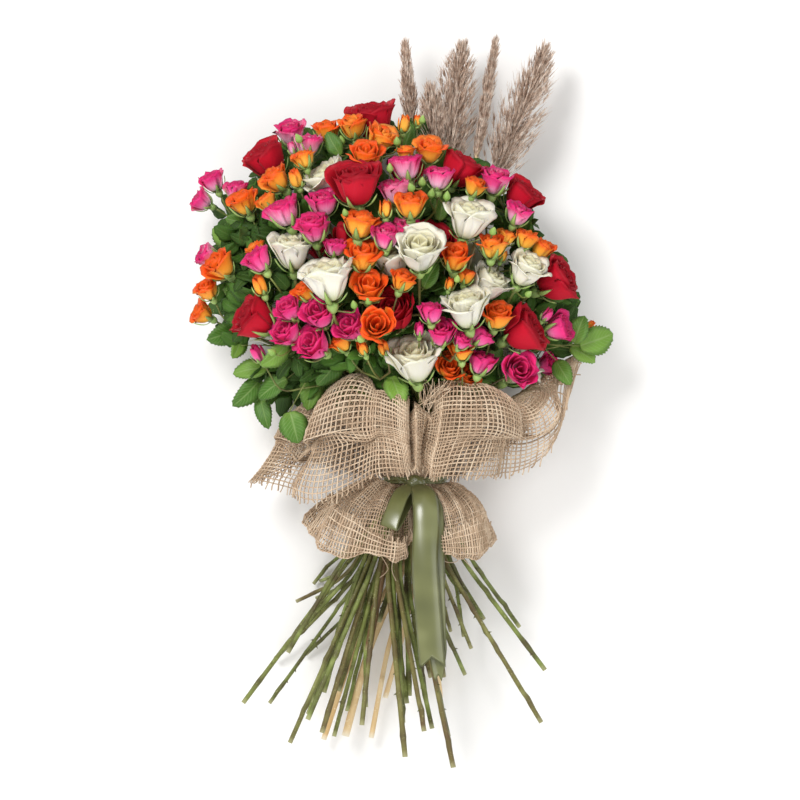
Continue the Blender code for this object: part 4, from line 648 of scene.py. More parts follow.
# The reed plumes' lines: cut end, below the wrap, tie, up to the foot and the tip.
def layOutCanes():
    canes = []
    for i, (row, degrees) in enumerate(zip(plumes, bunch["caneAngles"])):
        tipX, tipY, footX, footY, tipZ, footZ, wide, endX, endY, endZ, radius = row
        tip, foot = photoPlace(tipX, tipY, tipZ), photoPlace(footX, footY, footZ)
        ring, angle = bunch["caneRing"], math.radians(degrees)
        waist = np.array((ring * math.sin(angle), 0.0, bunch["tieHeight"] + ring * math.cos(angle)))
        end = photoPlace(endX, endY, endZ)
        rise, drop = lengths(foot - waist), lengths(end - waist)
        stalk = unit(tip - foot)
        way = unit(unit(foot - waist) + unit(waist - end))
        upper = bezier(waist, waist + way * rise * 0.3, foot - stalk * rise * 0.3, foot, 4)
        lower = bezier(end, end + unit(waist - end) * drop * 0.3, waist - way * drop * 0.25, waist, 4)
        canes.append({"node": f"cane_{i}", "owner": f"cane_{i}", "size": radius, "wide": float(wide),
                      "points": np.array((*lower[:3], *upper, tip)), "radius": bunch["caneRadius"] + 0.8,
                      "free": np.array((0, 1, 1, 0, 1, 1, 0, 0.0))})
    return canes


# Where the straight stretches a to b and c to d come nearest each other, as shares of each.
def nearestShares(a, b, c, d):
    first, second, between = b - a, d - c, a - c
    aa, ab, bb = (first * first).sum(1), (first * second).sum(1), (second * second).sum(1)
    aw, bw = (first * between).sum(1), (second * between).sum(1)
    share = np.clip((ab * bw - bb * aw) / np.maximum(aa * bb - ab * ab, 1e-6), 0, 1)
    other = np.clip((ab * share + bw) / np.maximum(bb, 1e-6), 0, 1)
    return np.clip((ab * other - aw) / np.maximum(aa, 1e-6), 0, 1), other


# Pushes stems, pedicels and canes aside until they pass clear of each other, the blooms and the wrap.
def clearLines(lines, blooms, solidPoints):
    names = {}

    def number(key):
        return names.setdefault(key, len(names))

    points = np.concatenate([line["points"] for line in lines])
    free = np.concatenate([line["free"] for line in lines])
    starts = np.cumsum([0] + [len(line["points"]) for line in lines])
    lower = np.concatenate([np.arange(a, b - 1) for a, b in zip(starts[:-1], starts[1:])])
    lineOf = np.repeat(np.arange(len(lines)), np.diff(starts) - 1)
    radius = np.array([line["radius"] for line in lines])[lineOf]
    owner = np.array([number(line["owner"]) for line in lines])[lineOf]
    node = np.array([number(line["node"]) for line in lines])[lineOf]
    roses = [b for b in blooms if b["node"].startswith("rose")]
    solid = np.concatenate(([b["place"] for b in blooms], [b["foot"] for b in roses], solidPoints))
    solidRadius = np.concatenate(([b["radius"] + 0.9 for b in blooms],
                                   [b["radius"] * bunch["cupShare"] + 1.0 for b in roses],
                                   np.full(len(solidPoints), 3.0)))
    solidOwner = np.concatenate(([number(b["node"]) for b in blooms + roses], np.full(len(solidPoints), -1)))
    pairs = [(i, j) for i in range(len(lower)) for j in range(i + 1, len(lower)) if owner[i] != owner[j]]
    one, two = np.array(pairs).T
    lineNeed = radius[one] + radius[two] - np.where(node[one] == node[two], 1.4, 0.0)
    for step in range(bunch["clearRounds"]):
        a, b = points[lower], points[lower + 1]
        if step % 20 == 0:
            middle, half = (a + b) / 2, lengths(b - a) / 2
            near = lengths(middle[one] - middle[two]) < half[one] + half[two] + lineNeed + 12
            nearOne, nearTwo, nearLine = one[near], two[near], lineNeed[near]
            # a rough test of all pairs at once, then the exact one on what is left
            square = (middle**2).sum(1)[:, None] + (solid**2).sum(1) - 2 * middle @ solid.T
            span = half[:, None] + radius[:, None] + solidRadius + 12.01
            mine, its = np.nonzero((square < span**2) & (owner[:, None] != solidOwner))
            solidNeed = radius[mine] + solidRadius[its]
            near = lengths(middle[mine] - solid[its]) < half[mine] + solidNeed + 12
            nearMine, nearIts, nearSolid = mine[near], its[near], solidNeed[near]
        share, other = nearestShares(a[nearOne], b[nearOne], a[nearTwo], b[nearTwo])
        gap = a[nearOne] + (b - a)[nearOne] * share[:, None]
        gap -= a[nearTwo] + (b - a)[nearTwo] * other[:, None]
        contacts = []
        far = np.maximum(lengths(gap), 1e-6)
        hit = far < nearLine
        push = gap[hit] / far[hit][:, None] * ((nearLine - far)[hit] / 2)[:, None]
        contacts.append((nearOne[hit], share[hit], push))
        contacts.append((nearTwo[hit], other[hit], -push))
        run = (b - a)[nearMine]
        share = ((solid[nearIts] - a[nearMine]) * run).sum(1) / np.maximum((run * run).sum(1), 1e-6)
        share = np.clip(share, 0, 1)
        gap = a[nearMine] + run * share[:, None] - solid[nearIts]
        far = np.maximum(lengths(gap), 1e-6)
        hit = far < nearSolid
        push = gap[hit] / far[hit][:, None] * (nearSolid - far)[hit][:, None]
        contacts.append((nearMine[hit], share[hit], push))
        move, weight = np.zeros_like(points), np.zeros(len(points))
        for stretch, part, shift in contacts:
            for point, lean in ((lower[stretch], 1 - part), (lower[stretch] + 1, part)):
                np.add.at(move, point, shift * lean[:, None] * 1.6)
                np.add.at(weight, point, lean)
        points += move / np.maximum(weight, 1.0)[:, None] * free[:, None]
        points[:, 2] = np.where(free > 0, np.maximum(points[:, 2], 6.0), points[:, 2])
    for line, a, b in zip(lines, starts[:-1], starts[1:]):
        line["points"] = points[a:b]


# A place on a leaf, in lengths and widths from its middle: it arches down and folds up at its rib.
def leafPlace(leaf, along, across, lift=0.0):
    arch = -0.1 * leaf["length"] * (2 * along) ** 2 + 0.22 * abs(across) * leaf["width"]
    return (leaf["middle"] + leaf["way"] * along * leaf["length"] + leaf["side"] * across * leaf["width"]
            + leaf["normal"] * (arch + lift))


# Points all over a leaf, to test whether it is clear.
def leafPoints(leaf):
    along = np.linspace(-0.46, 0.46, 8)[:, None, None]
    across = 0.5 * np.cos(along * 2.6) ** 0.7 * np.array((-0.9, -0.45, 0.0, 0.45, 0.9))[:, None]
    return leafPlace(leaf, along, across).reshape(-1, 3)


def segmentPoints(start, end, step=5.0):
    count = max(2, int(lengths(end - start) / step) + 1)
    return start + (end - start) * np.linspace(0, 1, count)[:, None]


# Leaves on all sides, each clear of everything, with a stalk from the nearest stem that it can reach.
def layOutLeaves(blooms, stems, pedicels, canes, solidPoints, count):
    rng = np.random.default_rng(bunch["seed"] + 1)
    spots = [b["place"] for b in blooms]
    sizes = [b["radius"] for b in blooms]
    for line in pedicels + canes:
        for a, b in zip(line["points"][:-1], line["points"][1:]):
            run = segmentPoints(a, b)
            spots += list(run)
            sizes += [line["radius"]] * len(run)
    for cane in canes:
        run = segmentPoints(cane["points"][-2], cane["points"][-1], 10)
        spots += list(run)
        sizes += [cane["wide"] * 0.8] * len(run)
    spots = np.concatenate((np.array(spots), solidPoints))
    sizes = np.concatenate((np.array(sizes), np.full(len(solidPoints), 1.5)))
    green = np.concatenate([segmentPoints(a, b) for s in stems
                            for a, b in zip(s["points"][2:-1], s["points"][3:])])
    roots = np.concatenate([segmentPoints(*s["points"][[3, 4]], 9) for s in stems]
                           + [segmentPoints(*s["points"][[4, 5]], 9)[1:-1] for s in stems])
    leaves, taken = [], np.zeros((0, 3))

    def clear(points, margin, takenMargin, root=None):
        if points[:, 2].min() < 3.0:
            return False
        low, high = points.min(0) - 10, points.max(0) + 10
        near = ((spots > low - sizes[:, None]) & (spots < high + sizes[:, None])).all(1)
        if near.any():
            far = lengths(points[:, None] - spots[near]) - sizes[near]
            if far.min() < margin:
                return False
        others = green if root is None else green[lengths(green - root) > 14]
        tested = points if root is None else points[2:]
        if len(tested) and lengths(tested[:, None] - others).min() < bunch["stemRadius"] + 1.5:
            return False
        return not len(taken) or lengths(points[:, None] - taken).min() > takenMargin

    def placeLeaf(middle, way, normal, length, width, near):
        nonlocal taken
        side = unit(np.cross(normal, way))
        leaf = {"middle": middle, "way": way, "side": side, "normal": np.cross(way, side), "length": length,
                "width": width}
        points = leafPoints(leaf)
        if not clear(points, 2.5, 5.0):
            return False
        base = leafPlace(leaf, -0.5, 0)
        far = lengths(roots - base)
        for k in np.argsort(far)[:30]:
            if not 6 < far[k] < near or np.dot(unit(base - roots[k]), way) < -0.2:
                continue
            stalk = segmentPoints(roots[k] + (base - roots[k]) * 0.12, base)
            if clear(stalk, 1.8, 3.0, roots[k]):
                leaf["root"], leaf["base"] = roots[k], base
                taken = np.concatenate((taken, points, stalk))
                leaves.append(leaf)
                return True
        return False

    for px, py, height, length, width, degrees in shownLeaves:
        angle = math.radians(degrees)
        for attempt in range(40):
            way = unit(np.array((math.cos(angle), math.sin(angle), 0.25 * rng.normal())))
            middle = photoPlace(px, py, height)
            middle += rng.normal(0, 1, 3) * (0.25, 0.25, 1.0) * attempt * 1.2
            normal = unit(np.array((0.35 * rng.normal(), 0.35 * rng.normal(), 1.0)))
            if placeLeaf(middle, way, normal, length, width, 130):
                break
    centre = np.array(bunch["domeCentre"])
    for _ in range(bunch["leafTries"]):
        if len(leaves) >= count:
            break
        ray = unit(rng.normal(size=3))
        upward = bunch["domeUp"] if ray[1] > 0 else bunch["domeDown"]
        middle = centre + ray * (bunch["domeAcross"], upward, bunch["domeFront"]) * rng.uniform(0.88, 1.04)
        if ray[2] < 0:
            middle[2] = rng.uniform(8, 70)
        out = unit(middle - bunch["focus"])
        way = unit(out * rng.uniform(0.2, 1.0) + unit(rng.normal(size=3)) * 0.7)
        length = rng.uniform(36, 50)
        normal = unit(ray + rng.normal(size=3) * 0.3)
        normal = unit(normal - way * np.dot(normal, way))
        placeLeaf(middle, way, normal, length, length * rng.uniform(0.52, 0.66), 110)
    return leaves


# A smooth curve through a list of points, at a place counted in points.
def splineValue(points, at):
    i = min(int(at), len(points) - 2)
    t = at - i
    p0, p1, p2, p3 = (points[min(max(k, 0), len(points) - 1)] for k in (i - 1, i, i + 1, i + 2))
    return 0.5 * (2 * p1 + (p2 - p0) * t + (2 * p0 - 5 * p1 + 4 * p2 - p3) * t**2
                  + (3 * p1 - p0 - 3 * p2 + p3) * t**3)


# The same curve from its first point to its last, as so many points.
def splinePath(points, count):
    return np.array([splineValue(points, at) for at in np.linspace(0, len(points) - 1, count)])


# One rib from the collar's hem over the tie to the skirt's hem, as (distance from the axis, Y).
def burlapRib(collar, skirt):
    tie = ((bunch["waistRadius"], 10.0), (bunch["waistRadius"], -9.0))
    return np.concatenate((np.reshape(collar, (-1, 2))[::-1], tie, np.reshape(skirt, (-1, 2))))


# Points of the burlap's middle surface, as rows along each of the columns round the bundle.
def burlapGrid(columns, steps):
    ribs = np.array([burlapRib(collar, skirt) for _, collar, skirt in burlapRibs])
    angles = np.array([a for a, _, _ in burlapRibs] + [360.0])
    wrapped = np.concatenate((ribs[-1:], ribs, ribs[:2]))
    grid = []
    for column in range(columns):
        angle = 360.0 * column / columns
        k = int(np.searchsorted(angles, angle, side="right")) - 1
        t = (angle - angles[k]) / (angles[k + 1] - angles[k])
        rib = splineValue(wrapped[k:k + 4], 1 + t)
        rows = [splineValue(rib, i / steps) for i in range((len(rib) - 1) * steps + 1)]
        turn = math.radians(angle)
        grid.append([(r * math.sin(turn), y, bunch["tieHeight"] + r * math.cos(turn)) for r, y in rows])
    grid = np.array(grid)
    grid[..., 2] = np.maximum(grid[..., 2], bunch["burlapThick"] / 2)
    return grid


# Petals and heads


petalLooks = {
    "red": {
        "slot": "red_petals", "veins": 26, "uneven": 0.10, "roughness": 0.60, "through": 0.10,
        "throughRadius": (1.0, 0.10, 0.08), "sheen": 0.22, "sheenTint": "#FF6A72", "gloss": 0.25,
        "bump": 0.22, "outer": ((0.0, "#86091A"), (0.25, "#B00E26"), (0.8, "#BE122B"), (1.0, "#650814")),
        "inner": ((0.0, "#5A040E"), (0.6, "#A60A1C"), (1.0, "#C41028")), "heart": "#7A0614",
        "heartShare": 0.4, "pale": "#E02A40", "paleShare": 0.15, "drift": "#C8A0A8", "patch": 0.2,
    },
    "white": {
        "slot": "white_petals", "veins": 20, "uneven": 0.18, "roughness": 0.5, "through": 0.25,
        "throughRadius": (1.0, 0.95, 0.6), "sheen": 0.08, "sheenTint": "#FFFFFF", "gloss": 0.35,
        "bump": 0.35,
        "outer": ((0.0, "#A9BE72"), (0.2, "#CFD8AC"), (0.5, "#E9E7D9"), (0.9, "#ECEADD"), (1.0, "#D3D8B0")),
        "inner": ((0.0, "#BCC888"), (0.45, "#E2DFC6"), (1.0, "#EBE8DA")), "heart": "#D9D29C",
        "heartShare": 0.6, "pale": "#EFEDE2", "paleShare": 0.1, "drift": "#EDE6CF", "patch": 0.35,
    },
    "orange": {
        "slot": "orange_petals", "veins": 14, "uneven": 0.22, "roughness": 0.5, "through": 0.2,
        "throughRadius": (1.0, 0.5, 0.12), "sheen": 0.10, "sheenTint": "#FFD0A0", "gloss": 0.35,
        "bump": 0.25,
        "outer": ((0.0, "#EFCB58"), (0.3, "#FCB444"), (0.7, "#FA982E"), (0.92, "#F0651E"), (1.0, "#E2481A")),
        "inner": ((0.0, "#E8861E"), (0.45, "#F2701C"), (1.0, "#EA4A16")), "heart": "#E4560F",
        "heartShare": 0.55, "pale": "#FFC24E", "paleShare": 0.9, "drift": "#FFD9B0", "patch": 0.2,
    },
    "pink": {
        "slot": "pink_petals", "veins": 14, "uneven": 0.28, "roughness": 0.5, "through": 0.18,
        "throughRadius": (1.0, 0.3, 0.4), "sheen": 0.12, "sheenTint": "#FFC0DC", "gloss": 0.35,
        "bump": 0.25,
        "outer": ((0.0, "#F6E2DC"), (0.22, "#F49CC2"), (0.55, "#EE5A9C"), (0.9, "#E32C7C"), (1.0, "#C81E62")),
        "inner": ((0.0, "#CE2E74"), (0.5, "#E0307C"), (1.0, "#DC2670")), "heart": "#C0184E",
        "heartShare": 0.6, "pale": "#FBD4E6", "paleShare": 0.95, "drift": "#F6C4D8", "patch": 0.25,
    },
}

# How each kind of head is built. Sizes are shares of its radius, counted from its middle.
headLooks = {
    "red": {
        "petals": 18, "grid": (9, 11), "size": 1.07, "heart": 0.10, "open": 1.0, "gather": 0.66, "top": 0.55,
        "rim": 0.56, "belly": 0.88, "corner": 0.13, "curl": 0.75, "roll": 0.9, "tip": 0.04, "ruffle": 0.035,
        "teeth": 0.022, "spiral": 0.045, "twist": 0.12, "thick": 0.022,
    },
    "white": {
        "petals": 17, "grid": (9, 11), "size": 1.10, "heart": 0.10, "open": 1.0, "gather": 0.62, "top": 0.55,
        "rim": 0.64, "belly": 0.70, "corner": 0.17, "curl": 1.1, "roll": 1.3, "tip": 0.12, "ruffle": 0.032,
        "teeth": 0.0, "spiral": 0.05, "twist": 0.12, "thick": 0.022,
    },
    "orange": {
        "petals": 12, "grid": (7, 7), "size": 1.18, "heart": 0.12, "open": 1.0, "gather": 0.60, "top": 0.60,
        "rim": 0.58, "belly": 0.84, "corner": 0.17, "curl": 1.1, "roll": 1.2, "tip": 0.10, "ruffle": 0.05,
        "teeth": 0.0, "spiral": 0.06, "twist": 0.2, "thick": 0.035,
    },
    "pink": {
        "petals": 13, "grid": (7, 7), "size": 1.18, "heart": 0.12, "open": 1.0, "gather": 0.58, "top": 0.60,
        "rim": 0.60, "belly": 0.86, "corner": 0.12, "curl": 0.7, "roll": 0.9, "tip": 0.05, "ruffle": 0.08,
        "teeth": 0.0, "spiral": 0.06, "twist": 0.2, "thick": 0.035,
    },
    "bud": {
        "petals": 6, "grid": (7, 6), "size": 1.12, "heart": 0.05, "open": 0.56, "gather": 0.7, "top": 0.86,
        "rim": 0.74, "belly": 0.86, "corner": 0.25, "curl": 0.3, "roll": 0.4, "tip": 0.12, "ruffle": 0.03,
        "teeth": 0.0, "spiral": 0.06, "twist": 0.4, "thick": 0.045,
    },
}
budRadius = 10.0  # a head smaller than this is still a closed bud


petalFoot = -0.93  # how high the petals start, in shares of the head's radius


# How far out and how high the petals are at a share of their way up, by their belly and their rim.
def petalLine(up, belly, rimRadius, rimHeight):
    down = 1 - up
    shoulder = 0.45 * belly + 0.55 * rimRadius
    radius = 0.10 * down**3 + 3 * belly * up * down**2 + 3 * shoulder * up**2 * down + rimRadius * up**3
    height = petalFoot * down**3 - 3 * 0.86 * up * down**2 + 3 * 0.16 * up**2 * down + rimHeight * up**3
    return radius, height


# The middle surfaces of a head's petals, in shares of its radius, with what the material reads there.
def headPetals(look, rng):
    count, (rows, columns) = look["petals"], look["grid"]
    t = (np.arange(count) / (count - 1))[:, None, None]  # 0 in the heart, 1 outermost
    u = np.linspace(-1, 1, columns)
    v = (np.linspace(0, 1, rows) ** 0.85)[:, None]

    def draw(low, high):
        return rng.uniform(low, high, (count, 1, 1))

    rimRadius = look["heart"] + (look["open"] - look["heart"]) * t ** look["gather"] * draw(0.93, 1.05)
    rimHeight = look["top"] - (look["top"] - look["rim"]) * t**1.6 - draw(-0.06, 0.26) * t**2
    half = (1.5 - 0.64 * t) * draw(0.88, 1.08)
    up = v * (1 - look["corner"] * np.abs(u) ** 2.6 * draw(0.6, 1.4))
    radius, height = petalLine(up, 0.14 + (look["belly"] - 0.14) * t**0.7, rimRadius, rimHeight)
    curl = np.clip((up - 0.64) / 0.36, 0, 1) * look["curl"] * t**1.5 * draw(0.3, 1.6)
    side = np.clip((np.abs(u) - 0.45) / 0.55, 0, 1) ** 1.6 * up**2 * look["roll"] * t * draw(0.5, 1.4)
    radius += 0.18 * curl**1.5 + 0.13 * side
    height += look["tip"] * (1 - np.abs(u)) ** 2 * up**6 - 0.17 * curl**2.2 - 0.11 * side
    wave = look["ruffle"] * up**3 * (0.35 + t)
    radius += wave * np.sin(u * draw(3.5, 6.5) + draw(0, 6.3))
    radius += 0.5 * wave * np.sin(u * draw(8, 11) + draw(0, 6.3))
    height += 0.8 * wave * np.sin(u * draw(4, 7.5) + draw(0, 6.3))
    height += look["teeth"] * up**8 * np.sin(u * draw(17, 23) + draw(0, 6.3))
    dent = np.sin(math.pi * up) * np.sin(u * draw(1.5, 3.2) + draw(0, 6.3))
    radius *= 1 + 0.05 * dent
    radius += look["spiral"] * u * (0.4 + 0.6 * t) * np.sin(math.pi * np.minimum(up + 0.2, 1) / 2)
    start = (np.arange(count) * goldenAngle + rng.uniform(0, 6.3))[:, None, None]
    angle = start + half * u + look["twist"] * (up - 0.5)
    middle = np.stack((radius * np.cos(angle), radius * np.sin(angle), height), -1)
    far = lengths(middle)[..., None]
    middle *= np.minimum(1, (1.10 + 0.12 * np.tanh((far - 1.10) / 0.12)) / np.maximum(far, 1.10))
    return middle, (up, np.abs(u), t), draw(0, 1)


# Points in shares of a head's radius, set on the head with a turn about its axis.
def onHead(head, points, turn):
    rows = np.array((*axisFrame(head["axis"], turn), head["axis"]))
    return head["place"] + (points @ rows) * head["radius"]


def headShape(bloom, look, rng):
    middle, values, tint = headPetals(look, rng)
    tint = np.clip((tint - 0.5) * 0.4 + bloom["pale"] + rng.uniform(-0.15, 0.15), 0, 1)
    foot = np.array((0.0, 0.0, petalFoot))
    middle = onHead(bloom, (middle - foot) * look["size"] + foot, rng.uniform(0, 6.3))
    return blades(middle, look["thick"] * bloom["radius"], (*values, tint))


# The green cup under a head, with its five sepals. Shares of the head's radius again.
calyxLooks = {
    "rose": {"sepals": 5, "long": 0.75, "wide": 0.15, "clear": 0.06, "cup": (
        (0.07, -1.36), (0.16, -1.30), (0.23, -1.16), (0.25, -1.02), (0.24, -0.94), (0.10, -0.88))},
    "spray": {"sepals": 5, "long": 1.0, "wide": 0.26, "clear": 0.07, "cup": (
        (0.11, -1.52), (0.22, -1.44), (0.33, -1.24), (0.35, -1.06), (0.33, -0.94), (0.14, -0.84))},
}


def calyxShape(bloom, look, head, rng):
    turn = rng.uniform(0, 6.3)
    count = look["sepals"]
    s = np.linspace(0, 1, 8)[:, None]
    u = np.linspace(-1, 1, 3)
    reflex = rng.uniform(0.0, 0.8, (count, 1, 1)) ** 3
    long = look["long"] * rng.uniform(0.75, 1.1, (count, 1, 1))
    # most sepals lie along the outer petals, up to a share of their height, and some bend back
    radius, height = petalLine(0.03 + 0.70 * s * long, head["belly"], head["open"], head["rim"])
    radius = radius * head["size"] + look["clear"]
    height = (height - petalFoot) * head["size"] - 0.95
    radius += (0.20 + 0.62 * s * long - radius) * reflex
    height += (-0.96 + long * (0.20 * s - 0.50 * s**2) - height) * reflex
    angle = (np.arange(count) * 2 * math.pi / count)[:, None, None] + rng.uniform(-0.15, 0.15, (count, 1, 1))
    out = radius - 0.05 * np.abs(u)
    side = look["wide"] * ((1 - s**1.6) * (0.75 + 0.6 * s) + 0.03) * u
    cosine, sine = np.cos(angle), np.sin(angle)
    middle = np.stack((out * cosine - side * sine, out * sine + side * cosine, height + 0 * u), -1)
    sepals = blades(onHead(bloom, middle, turn), 0.7, (s, np.abs(u), 1, rng.uniform(0, 1, (count, 1, 1))))
    profile = np.array(look["cup"]) * bloom["radius"]
    path = bloom["place"] + bloom["axis"] * profile[:, 1:]
    return together([sepals, tubes(path, profile[:, 0], 8, tint=rng.uniform())])


# Closed green buds that stand between the open heads of a spray.
greenBuds = (
    (342, 143), (397, 145), (390, 172), (411, 192), (424, 185), (432, 195), (446, 200), (422, 122),
    (355, 307), (369, 303), (364, 338), (455, 282), (274, 353), (526, 290), (300, 142), (250, 232),
    (352, 221), (486, 232),
)

# Heads of the photograph that are still closed.
closedHeads = (
    (388, 210), (262, 285), (259, 354), (363, 349), (387, 350), (345, 240), (295, 181), (404, 126),
)


# How heads are turned: how much more they lift, above which Y they are paler, and how their stems reach them.
turning = {"lift": 8, "paleAbove": 250, "roseDown": 1.24, "roseRun": 14, "sprayDown": 1.4, "sprayRun": 0.35}


# Turns each head about its middle to face as in the photograph, and bends its stem's end to its new foot.
def turnHeads(blooms, stems, pedicels):
    ends = {id(line["bloom"]): line["points"] for line in pedicels}
    ends.update({stem["owner"]: stem["points"] for stem in stems if stem["owner"].startswith("rose")})
    closed = np.array([photoPlace(px, py)[:2] for px, py in closedHeads])
    for bloom in blooms:
        axis = bloom["axis"]
        bloom["closed"] = lengths(closed - bloom["seen"]).min() < 1
        bloom["pale"] = 0.75 if bloom["seen"][1] > turning["paleAbove"] else 0.25
        if bloom["fixed"]:
            bloom["pale"] = 0.5
        elif bloom["facing"]:
            turn, lift = np.radians(bloom["facing"])
            lift += math.radians(turning["lift"])
            level = math.cos(lift)
            axis = np.array((math.cos(turn) * level, math.sin(turn) * level, math.sin(lift)))
        else:
            axis = unit(axis * (1.0, 1.0, 0.45) + (0.0, 0.15, 0.0))
        bloom["axis"] = axis
        if bloom["node"].startswith("rose"):
            line, down = ends[bloom["node"]], turning["roseDown"]
            line[-2] = bloom["place"] - axis * (bloom["radius"] * down + turning["roseRun"])
        else:
            line, down = ends[id(bloom)], turning["sprayDown"]
            reach = lengths(line[-1] - line[0])
            line[1] = bloom["place"] - axis * (bloom["radius"] * down + turning["sprayRun"] * reach)
        line[-1] = bloom["place"] - axis * bloom["radius"] * down


def makeHeads(blooms, rng):
    materials = {colour: petalMaterial(name, petalLooks[colour]) for colour, name in (
        ("red", "red rose petal"), ("white", "cream rose petal"), ("orange", "orange spray rose petal"),
        ("pink", "pink spray rose petal"))}
    calyx = leafMaterial("rose calyx", calyxGreen)
    for node in dict.fromkeys(bloom["node"] for bloom in blooms):
        mine = [bloom for bloom in blooms if bloom["node"] == node]
        colour = mine[0]["colour"]
        kind = "rose" if node.startswith("rose") else "spray"
        petals, greens = [], []
        for bloom in mine:
            shut = bloom["closed"] or kind == "spray" and bloom["radius"] < budRadius
            look = headLooks["bud" if shut else colour]
            petals.append(headShape(bloom, look, rng))
            greens.append(calyxShape(bloom, calyxLooks[kind], look, rng))
        makePiece(f"{node}_petals", together(petals), materials[colour], [node])
        makePiece(f"{node}_calyx", together(greens), calyx)


# Leaves and stems


leafGreen = {
    "face": ((0.0, "#6B8A3A"), (0.3, "#4F782B"), (1.0, "#426A22")), "back": "#6C8650", "vein": "#8FA868",
    "young": "#84A944", "veins": 9.0, "gloss": 0.3, "roughness": 0.46, "bump": 0.5,
}
# Painted shade: this darker green stands in for the shade deep between the heads where these leaflets lie,
# partly also the darker tone of older leaves.
shadeDarkLeafGreen = {
    "face": ((0.0, "#48622A"), (0.3, "#385420"), (1.0, "#2A4415")), "back": "#405A30", "vein": "#5C7840",
    "young": "#5C8A34", "veins": 9.0, "gloss": 0.16, "roughness": 0.5, "bump": 0.5,
}
calyxGreen = {
    "face": ((0.0, "#6F9440"), (0.5, "#7C9F4A"), (1.0, "#94AE5E")), "back": "#B5C68C", "vein": "#A9C27A",
    "young": "#A5C368", "veins": 5.0, "gloss": 0.35, "roughness": 0.5, "bump": 0.25,
}


# Rose leaf: a waxy blade that catches the light, with a paler rib, side veins and a matt underside.
def leafMaterial(name, look):
    material, tree = newMaterial(name)
    along, across, _, tint, inside = readGrade(tree)
    # side veins leave the rib at a slant
    slant = addNode(tree, "Math", {"operation": "MULTIPLY_ADD", 1: -0.35}, {0: across, 2: along})
    turns = addNode(tree, "Math", {"operation": "MULTIPLY", 1: look["veins"] * 2 * math.pi}, {0: slant})
    ripple = addNode(tree, "Math", {"operation": "SINE"}, {0: turns})
    side = addNode(tree, "MapRange", {1: 0.75, 2: 1.0, 4: 0.6}, {0: ripple})
    rib = addNode(tree, "MapRange", {1: 0.12, 2: 0.0}, {0: across})
    vein = addNode(tree, "Math", {"operation": "MAXIMUM"}, {0: side, 1: rib})
    noise = addNode(tree, "TexNoise", {"Scale": 90.0, "Detail": 3.0})
    mottled = addNode(tree, "Math", {"operation": "MULTIPLY_ADD", 1: 0.5, 2: -0.25}, {0: noise})
    reach = addNode(tree, "Math", {"operation": "ADD"}, {0: along, 1: mottled})
    face = addNode(tree, "ValToRGB", {"stops": look["face"]}, {0: reach})
    age = addNode(tree, "MapRange", {1: 0.45, 2: 1.0, 4: 0.75}, {0: tint})
    young = addNode(tree, "Mix", {"data_type": "RGBA", 7: look["young"]}, {0: age, 6: face})
    veined = addNode(tree, "Math", {"operation": "MULTIPLY", 1: 0.55}, {0: vein})
    marked = addNode(tree, "Mix", {"data_type": "RGBA", 7: look["vein"]}, {0: veined, 6: young})
    under = addNode(tree, "Math", {"operation": "MULTIPLY", 1: 0.75}, {0: inside})
    both = addNode(tree, "Mix", {"data_type": "RGBA", 7: look["back"]}, {0: under, 6: marked})
    bump = addNode(tree, "Bump", {"Strength": look["bump"], "Distance": 0.0006, "invert": True},
                   {"Height": vein})
    return finishMaterial(material, {
        "Roughness": look["roughness"], "IOR": 1.45, "Specular IOR Level": look["gloss"],
        "Subsurface Weight": 0.12, "Subsurface Radius": (0.4, 1.0, 0.15), "Subsurface Scale": 0.001,
    }, {"Base Color": both, "Normal": bump})


leafBlade = {"rows": 23, "sprayRows": 8, "columns": 5, "toothDepth": 0.035, "thick": 0.5}


# Rose leaf blades: a list of leaves as placed by the layout, all made with one grid.
def leafBlades(leaves, rows, rng):
    along = np.linspace(-0.5, 0.5, rows)[:, None]
    across = np.linspace(0.5, -0.5, leafBlade["columns"])  # backwards: the first skin is the upper one
    outline = np.cos(along * 3.0) ** 0.62 * (1 - 0.35 * along)
    outline[[0, -1]] = 0.02
    tooth = leafBlade["toothDepth"] * (-1.0) ** np.arange(rows)[:, None]
    edge = np.abs(across) > 0.49
    a = along + 0.5 * tooth * edge * (np.abs(along) < 0.46)
    c = across * outline * np.where(edge, 1 + 1.2 * tooth, 1)
    middles, tints = [], []
    for leaf in leaves:
        wave = 0.05 * leaf["width"] * np.sin(a * 9 + rng.uniform(0, 6.3)) * np.abs(c) * 2
        middles.append(leafPlace(leaf, a[..., None], c[..., None], wave[..., None]))
        tints.append(leaf.get("tint", rng.uniform()))
    return blades(np.array(middles), leafBlade["thick"],
                  (a + 0.5, np.abs(across) * 2, 0.5, np.reshape(tints, (-1, 1, 1))))


stemLook = {
    "sides": 7, "step": 8.0, "round": 26.0, "swell": 0.26, "thorns": 0.18, "slim": 0.84, "sizes": (2.6, 3.9),
    "twigSides": 5, "twigRound": 12.0, "twigSlim": 0.9, "stalk": (0.9, 0.6), "woodyEnd": (368, 650),
}


# A run of straight stretches with its corners rounded, as points a step apart.
def roundedPath(points, roundness, step):
    path = [points[0]]
    for before, corner, after in zip(points[:-2], points[1:-1], points[2:]):
        back, ahead = before - corner, after - corner
        reach = min(roundness, 0.45 * lengths(back), 0.45 * lengths(ahead))
        first, last = corner + unit(back) * reach, corner + unit(ahead) * reach
        for t in np.linspace(0, 1, 7):
            path.append(first * (1 - t) ** 2 + corner * 2 * t * (1 - t) + last * t**2)
    path.append(points[-1])
    path = np.array(path)
    far = np.concatenate(([0], np.cumsum(lengths(np.diff(path, axis=0)))))
    count = max(4, int(far[-1] / step) + 1)
    at = np.linspace(0, far[-1], count)
    return np.stack([np.interp(at, far, path[:, k]) for k in range(3)], 1)


